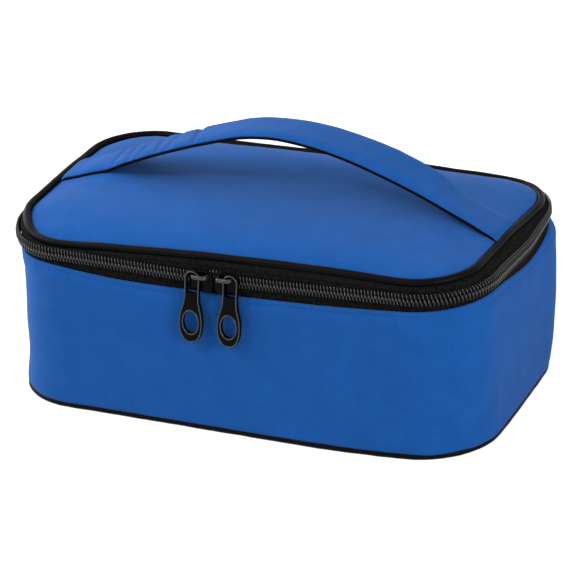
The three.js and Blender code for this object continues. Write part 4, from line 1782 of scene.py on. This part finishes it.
    def build(self) -> None:
        """Make the strap."""
        cover = self.strip("strap_cover", True, self.finishes.blue)
        backing = self.strip("strap_backing", False, self.finishes.black_binding)
        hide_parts("handle_cover", "handle_padding", "handle_end_left", "handle_end_right")
        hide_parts("handle_backing", "handle_end_backing_left", "handle_end_backing_right")
        for piece in (cover, backing, self.stitches()):
            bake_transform(piece)


@dataclass
class Sliders:
    """The two cast sliders, nose to nose, and their pull tabs.

    A wing is how far it reaches above and below the zip's line, and its thickness. A box is its lowest and
    its highest corner.
    """

    finishes: Finishes
    length: float = 13.0
    spacing: float = 13.4
    outer_face: float = 6.6
    inner_face: float = 1.45
    outer_wing: tuple = (5.4, 6.6, 1.2)
    inner_wing: tuple = (3.6, 5.0, 0.9)
    pillar_y: tuple = (-6.0, -1.0)
    pillar_half: float = 0.5
    flange_box: tuple = ((-4.0, -6.0, -4.9), (4.0, -2.8, -3.7))
    block_bevel: float = 0.3
    bridge_half: float = 3.6
    bridge_rise: float = 2.6
    bridge_reach: float = 9.85
    bridge_bend: float = 1.3
    bridge_radius: float = 0.72
    bridge_height: float = 1.5
    pull_plane: float = 6.9
    pull_thickness: float = 2.0
    pull_lean: float = 6.0
    pull_top: float = 3.0
    neck_depth: float = 14.0
    ring_radius: float = 4.25
    ring_bar: float = 1.4
    ring_hole_depth: float = 1.5
    ring_hole: float = 10.6
    hole_corner: float = 0.9
    widest_half: float = 6.5
    widest_depth: float = 29.0
    pull_length: float = 39.7
    toe_half: float = 4.4
    oval: tuple = (3.7, 5.9)
    oval_depth: float = 28.5
    bead_inset: float = 0.65
    bead_radius: float = 0.36

    def wing(self, nose: int, rise: float, drop: float, thickness: float, outer_y: float) -> Shell:
        """A wing: an outline full at the nose and narrower at the tail, with a waist between.

        Args:
            nose: 1 for a nose to the right, -1 for one to the left.
            rise: How far it reaches above the zip's line.
            drop: How far it reaches below.
            thickness: Its thickness.
            outer_y: How far out its outer face stands.

        Returns:
            The shell.
        """
        half = self.length / 2
        shoulder, waist, tail = half * 0.42, -half * 0.3, -half * 0.7
        outline = np.vstack([
            bezier([(half, 0), (half, rise * 0.62), (half * 0.9, rise), (shoulder, rise)], 10),
            bezier([(shoulder, rise), (0, rise), (waist, rise - 1.4), (tail, rise - 1.5)], 8),
            bezier([(tail, rise - 1.5), (-half, rise - 1.5), (-half, rise - 2.2), (-half, 0)], 8),
            bezier([(-half, 0), (-half, 2.2 - drop), (-half, 1.5 - drop), (tail, 1.5 - drop)], 8),
            bezier([(tail, 1.5 - drop), (waist, 1.4 - drop), (0, -drop), (shoulder, -drop)], 8),
            bezier([(shoulder, -drop), (half * 0.9, -drop), (half, -drop * 0.62), (half, 0)], 10),
        ])
        if nose < 0:
            outline = outline[::-1] * MIRROR_X
        shell = plate_shell([outline], thickness, min(0.45, thickness * 0.4))
        return shell.moved(Matrix.Translation((0, -outer_y + thickness, 0)))

    def bridge(self) -> Shell:
        """The bridge: a bar bent out of the wing, along the slider and back.

        Returns:
            The shell.
        """
        end, reach, bend = self.bridge_half, self.bridge_reach, self.bridge_bend
        leg = np.column_stack([np.full(4, -end), np.linspace(self.outer_face - 0.6, reach - bend, 4)])
        corner = arc((-end + bend, reach - bend), (bend, bend), 180, 90, 6)
        line = np.vstack([leg, corner[1:], [(-end + bend, reach), (0, reach + 0.12)]])
        line = np.vstack([line, (line[:-1] * MIRROR_X)[::-1]])
        path = np.column_stack([line[:, 0], -line[:, 1], np.zeros(len(line))])
        shell = tube_shell(path, self.bridge_radius, UP, 14)
        shell.vertices[:, 2] *= self.bridge_height
        return shell.moved(Matrix.Translation((0, 0, self.bridge_rise)))

    def block(self, low: tuple, high: tuple, bevel: float) -> Shell:
        """A block with rounded long edges, from one corner to the other.

        Args:
            low: Its lowest corner.
            high: Its highest corner.
            bevel: The radius of its long edges.

        Returns:
            The shell.
        """
        left, right, bottom, top = low[0] + bevel, high[0] - bevel, low[2] + bevel, high[2] - bevel
        corners = ((0, right, top), (90, left, top), (180, left, bottom), (270, right, bottom))
        outline = np.vstack([arc((x, z), (bevel, bevel), start, start + 90, 4) for start, x, z in corners])
        thickness = high[1] - low[1]
        return plate_shell([outline], thickness, 0.15).moved(Matrix.Translation((0, high[1], 0)))

    def body(self, nose: int) -> Shell:
        """One slider in its own frame: both wings, the pillar between the rows and the lower flange.

        Args:
            nose: 1 for a nose to the right, -1 for one to the left.

        Returns:
            The shell.
        """
        left, right = sorted((0.0, nose * (self.length / 2 - self.pillar_half)))
        low = (left, self.pillar_y[0], -self.pillar_half)
        high = (right, self.pillar_y[1], self.pillar_half)
        return (
            self.wing(nose, *self.outer_wing, self.outer_face)
            + self.wing(nose, *self.inner_wing, self.inner_face)
            + self.block(low, high, self.block_bevel)
            + self.block(*self.flange_box, self.block_bevel)
        )

    def pull(self) -> tuple[Shell, Shell]:
        """One pull tab, hung from its origin, and its raised rims.

        It is a ring, a neck that widens to a rounded toe, and an oval hole.

        Returns:
            The tab and its rims.
        """
        top, ring = self.pull_top, self.ring_radius
        neck, widest, bottom = top - self.neck_depth, top - self.widest_depth, top - self.pull_length
        wide, toe = self.widest_half, self.toe_half
        left = np.vstack([
            arc((0, top - ring), (ring, ring), 90, 180, 12),
            bezier([(-ring, top - ring), (-ring, -4), (-ring + 0.25, neck + 2), (-ring + 0.1, neck)], 6),
            bezier([(-ring + 0.1, neck), (-ring, neck - 6), (-wide, widest + 7), (-wide, widest)], 16),
            bezier([(-wide, widest), (-wide, widest - 6.4), (-toe, bottom), (0, bottom)], 16),
        ])
        outline = np.vstack([left, [(0.0, bottom)], (left * MIRROR_X)[::-1][:-1]])
        inner, round_off = ring - self.ring_bar, self.hole_corner
        hole_top = top - self.ring_hole_depth
        hole_bottom = hole_top - self.ring_hole
        low = hole_bottom + round_off
        ring_hole = np.vstack([
            arc((0, hole_top - inner), (inner, inner), 0, 180, 20),
            [(-inner, hole_top - inner), (-inner, hole_bottom + 2)],
            arc((-inner + round_off, low), (round_off, round_off), 180, 270, 5),
            arc((inner - round_off, low), (round_off, round_off), 270, 360, 5),
            [(inner, hole_bottom + 2)],
        ])[::-1]
        oval = arc((0, top - self.oval_depth), self.oval, 360, 0, 36)
        plate = plate_shell([outline, ring_hole, oval], self.pull_thickness, 0.6)
        return plate, self.bead(outline) + self.bead(oval)

    def bead(self, outline: np.ndarray) -> Shell:
        """A low raised bead on a pull's front face, a little inside an outline.

        Args:
            outline: The outline, as pairs.

        Returns:
            The shell.
        """
        line = outline + inward_normals(outline) * self.bead_inset
        path = np.column_stack([line[:, 0], np.full(len(line), -self.pull_thickness), line[:, 1]])
        return tube_shell(path, self.bead_radius, np.array([0.0, -1.0, 0.0]), 8, loop=True)

    def build(self) -> None:
        """Make the sliders and the pulls."""
        # The bridges and the pulls' raised rims take the painted highlight grey.
        casting, glint_grey = self.finishes.casting, self.finishes.glint_grey_rim
        for side, name in ((-1, "left"), (1, "right")):
            x = FORM.zip_meet_x + side * self.spacing / 2
            slope = math.atan(FORM.zip_sag / (FORM.outline.straight_x - side * FORM.zip_meet_x))
            z = float(FORM.zip_line(np.array(FORM.outline.front(x))))
            place = Matrix.Translation((x, -FORM.outline.depth / 2, z))
            here = place @ Matrix.Rotation(-side * slope, 4, "Y")
            hook = Matrix.Translation((side * self.bridge_half, -self.pull_plane, self.bridge_rise))
            lean = Matrix.Rotation(math.radians(self.pull_lean) + side * slope, 4, "Y")
            tab, rims = (shell.moved(here @ hook @ lean) for shell in self.pull())
            slider_body, pull_body = Body(f"slider_{name}"), Body(f"pull_{name}")
            slider = make_piece(f"slider_{name}_casting", self.body(-side).moved(here), casting, merge=True)
            settle(slider, slider_body, f"slider_{name}")
            settle(make_piece(f"slider_{name}_bridge", self.bridge().moved(here), glint_grey), slider_body)
            pull = make_piece(f"pull_{name}_tab", tab, casting, merge=True)
            settle(pull, pull_body, f"pull_{name}")
            settle(make_piece(f"pull_{name}_rims", rims, glint_grey), pull_body)


# The studio


def seen_directly(tree: bpy.types.NodeTree) -> bpy.types.NodeSocket:
    """1 for rays from the camera and those mirrored or passed on to it, 0 for those that light the bag.

    Args:
        tree: The node tree.

    Returns:
        The socket that gives it.
    """
    rays = add_node(tree, "ShaderNodeLightPath").outputs
    passed_on = {0: rays["Is Glossy Ray"], 1: rays["Is Transmission Ray"]}
    mirrored = add_node(tree, "ShaderNodeMath", passed_on, operation="MAXIMUM")
    seen = {0: rays["Is Camera Ray"], 1: mirrored.outputs[0]}
    return add_node(tree, "ShaderNodeMath", seen, operation="MAXIMUM").outputs[0]


@dataclass
class Studio:
    """A pale floor, soft light and the photograph's viewpoint.

    Each softbox is its name, its place and size in metres, and its power in watts.
    """

    azimuth: float = 25.17
    elevation: float = 24.44
    roll: float = -3.5
    distance: float = 2334.0
    target: tuple = (0.0, 0.0, 46.3)
    focal_pixels: float = 4624.46
    centre_shift: tuple = (0.16, 3.86)
    sensor: float = 36.0
    far_clip: float = 50.0
    world: float = 0.52
    floor_colour: str = "#c8c8c8"
    floor_glow: float = 0.76
    floor_half: float = 4.0
    floor_drop: float = 0.00005
    softboxes: tuple = (
        ("key", (-0.7, -0.15, 0.5), 0.6, 4.1),
        ("back", (-1.1, 0.75, 0.5), 0.8, 5.0),
        ("side", (0.84, -0.45, 0.35), 0.4, 4.0),
        ("glint", (-0.45, -0.6, 0.85), 0.12, 2.2),
    )
    lit_point: tuple = (0, 0, 0.06)

    def camera(self) -> None:
        """Place the camera: a long lens, rolled a little, with a small shift."""
        az, el, roll = (math.radians(angle) for angle in (self.azimuth, self.elevation, self.roll))
        back = Vector((math.sin(az) * math.cos(el), -math.cos(az) * math.cos(el), math.sin(el)))
        right = (-back).cross(Vector((0, 0, 1))).normalized()
        up = right.cross(-back)
        tilted_right = right * math.cos(roll) + up * math.sin(roll)
        tilted_up = up * math.cos(roll) - right * math.sin(roll)
        data = bpy.data.cameras.new("camera")
        data.sensor_width = self.sensor
        data.lens = self.focal_pixels * self.sensor / PHOTO_SIDE
        data.shift_x, data.shift_y = (shift / PHOTO_SIDE for shift in self.centre_shift)
        data.clip_end = self.far_clip
        camera = bpy.data.objects.new("camera", data)
        place = (Vector(self.target) + back * self.distance) * MM
        turn = Matrix((tilted_right, tilted_up, back)).transposed()
        camera.matrix_world = Matrix.Translation(place) @ turn.to_4x4()
        bpy.context.scene.collection.objects.link(camera)
        bpy.context.scene.camera = camera

    def softbox(self, name: str, place: tuple, size: float, watts: float) -> None:
        """A square soft light that faces the bag.

        Args:
            name: Its name.
            place: Its place in metres.
            size: Its side in metres.
            watts: Its power.
        """
        data = bpy.data.lights.new(name, "AREA")
        data.size = size
        data.energy = watts
        light = bpy.data.objects.new(name, data)
        at = Vector(place)
        facing = (at - Vector(self.lit_point)).to_track_quat("Z", "Y").to_matrix().to_4x4()
        light.matrix_world = Matrix.Translation(at) @ facing
        bpy.context.scene.collection.objects.link(light)

    def surroundings(self) -> None:
        """The world: even pale light, plain white behind the bag."""
        world = bpy.data.worlds.new("studio")
        bpy.context.scene.world = world
        world.use_nodes = True
        tree = world.node_tree
        tree.nodes.clear()
        levels = {0: seen_directly(tree), 1: 1 - self.world, 2: self.world}
        level = add_node(tree, "ShaderNodeMath", levels, operation="MULTIPLY_ADD").outputs[0]
        sky = add_node(tree, "ShaderNodeBackground", {"Color": (1, 1, 1, 1), "Strength": level})
        add_node(tree, "ShaderNodeOutputWorld", {"Surface": sky.outputs[0]})

    def floor(self) -> None:
        """A pale floor, a little lighter than paper to the camera so that it fades into the background."""
        side, low = self.floor_half, -self.floor_drop
        corners = [(-side, -side, low), (side, -side, low), (side, side, low), (-side, side, low)]
        material, tree = blank_material("paper_floor")
        paper = add_node(tree, "ShaderNodeBsdfDiffuse", {"Color": linear(self.floor_colour)})
        levels = {0: seen_directly(tree), 1: self.floor_glow}
        level = add_node(tree, "ShaderNodeMath", levels, operation="MULTIPLY").outputs[0]
        glow = add_node(tree, "ShaderNodeEmission", {"Color": (1, 1, 1, 1), "Strength": level})
        both = add_node(tree, "ShaderNodeAddShader", {0: paper.outputs[0], 1: glow.outputs[0]})
        add_node(tree, "ShaderNodeOutputMaterial", {"Surface": both.outputs[0]})
        mesh = bpy.data.meshes.new("floor")
        mesh.from_pydata(corners, [], [[0, 1, 2, 3]])
        mesh.materials.append(material)
        floor = bpy.data.objects.new("floor", mesh)
        bpy.context.scene.collection.objects.link(floor)

    def build(self) -> None:
        """Make the studio."""
        bpy.context.scene.view_settings.view_transform = "Standard"
        self.camera()
        self.surroundings()
        self.floor()
        for box in self.softboxes:
            self.softbox(*box)


def main() -> None:
    """Build the bag in its order, logging each piece's face count as it is made."""
    logging.basicConfig(level=logging.INFO, format="%(name)s: %(message)s")
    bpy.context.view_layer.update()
    Studio().build()
    finishes = Finishes()
    for part in (Base, Walls, Liner, Zip, Lid, Handle, Sliders):
        part(finishes).build()
        LOG.info("%s built", part.__name__)


if __name__ == "__main__":
    main()
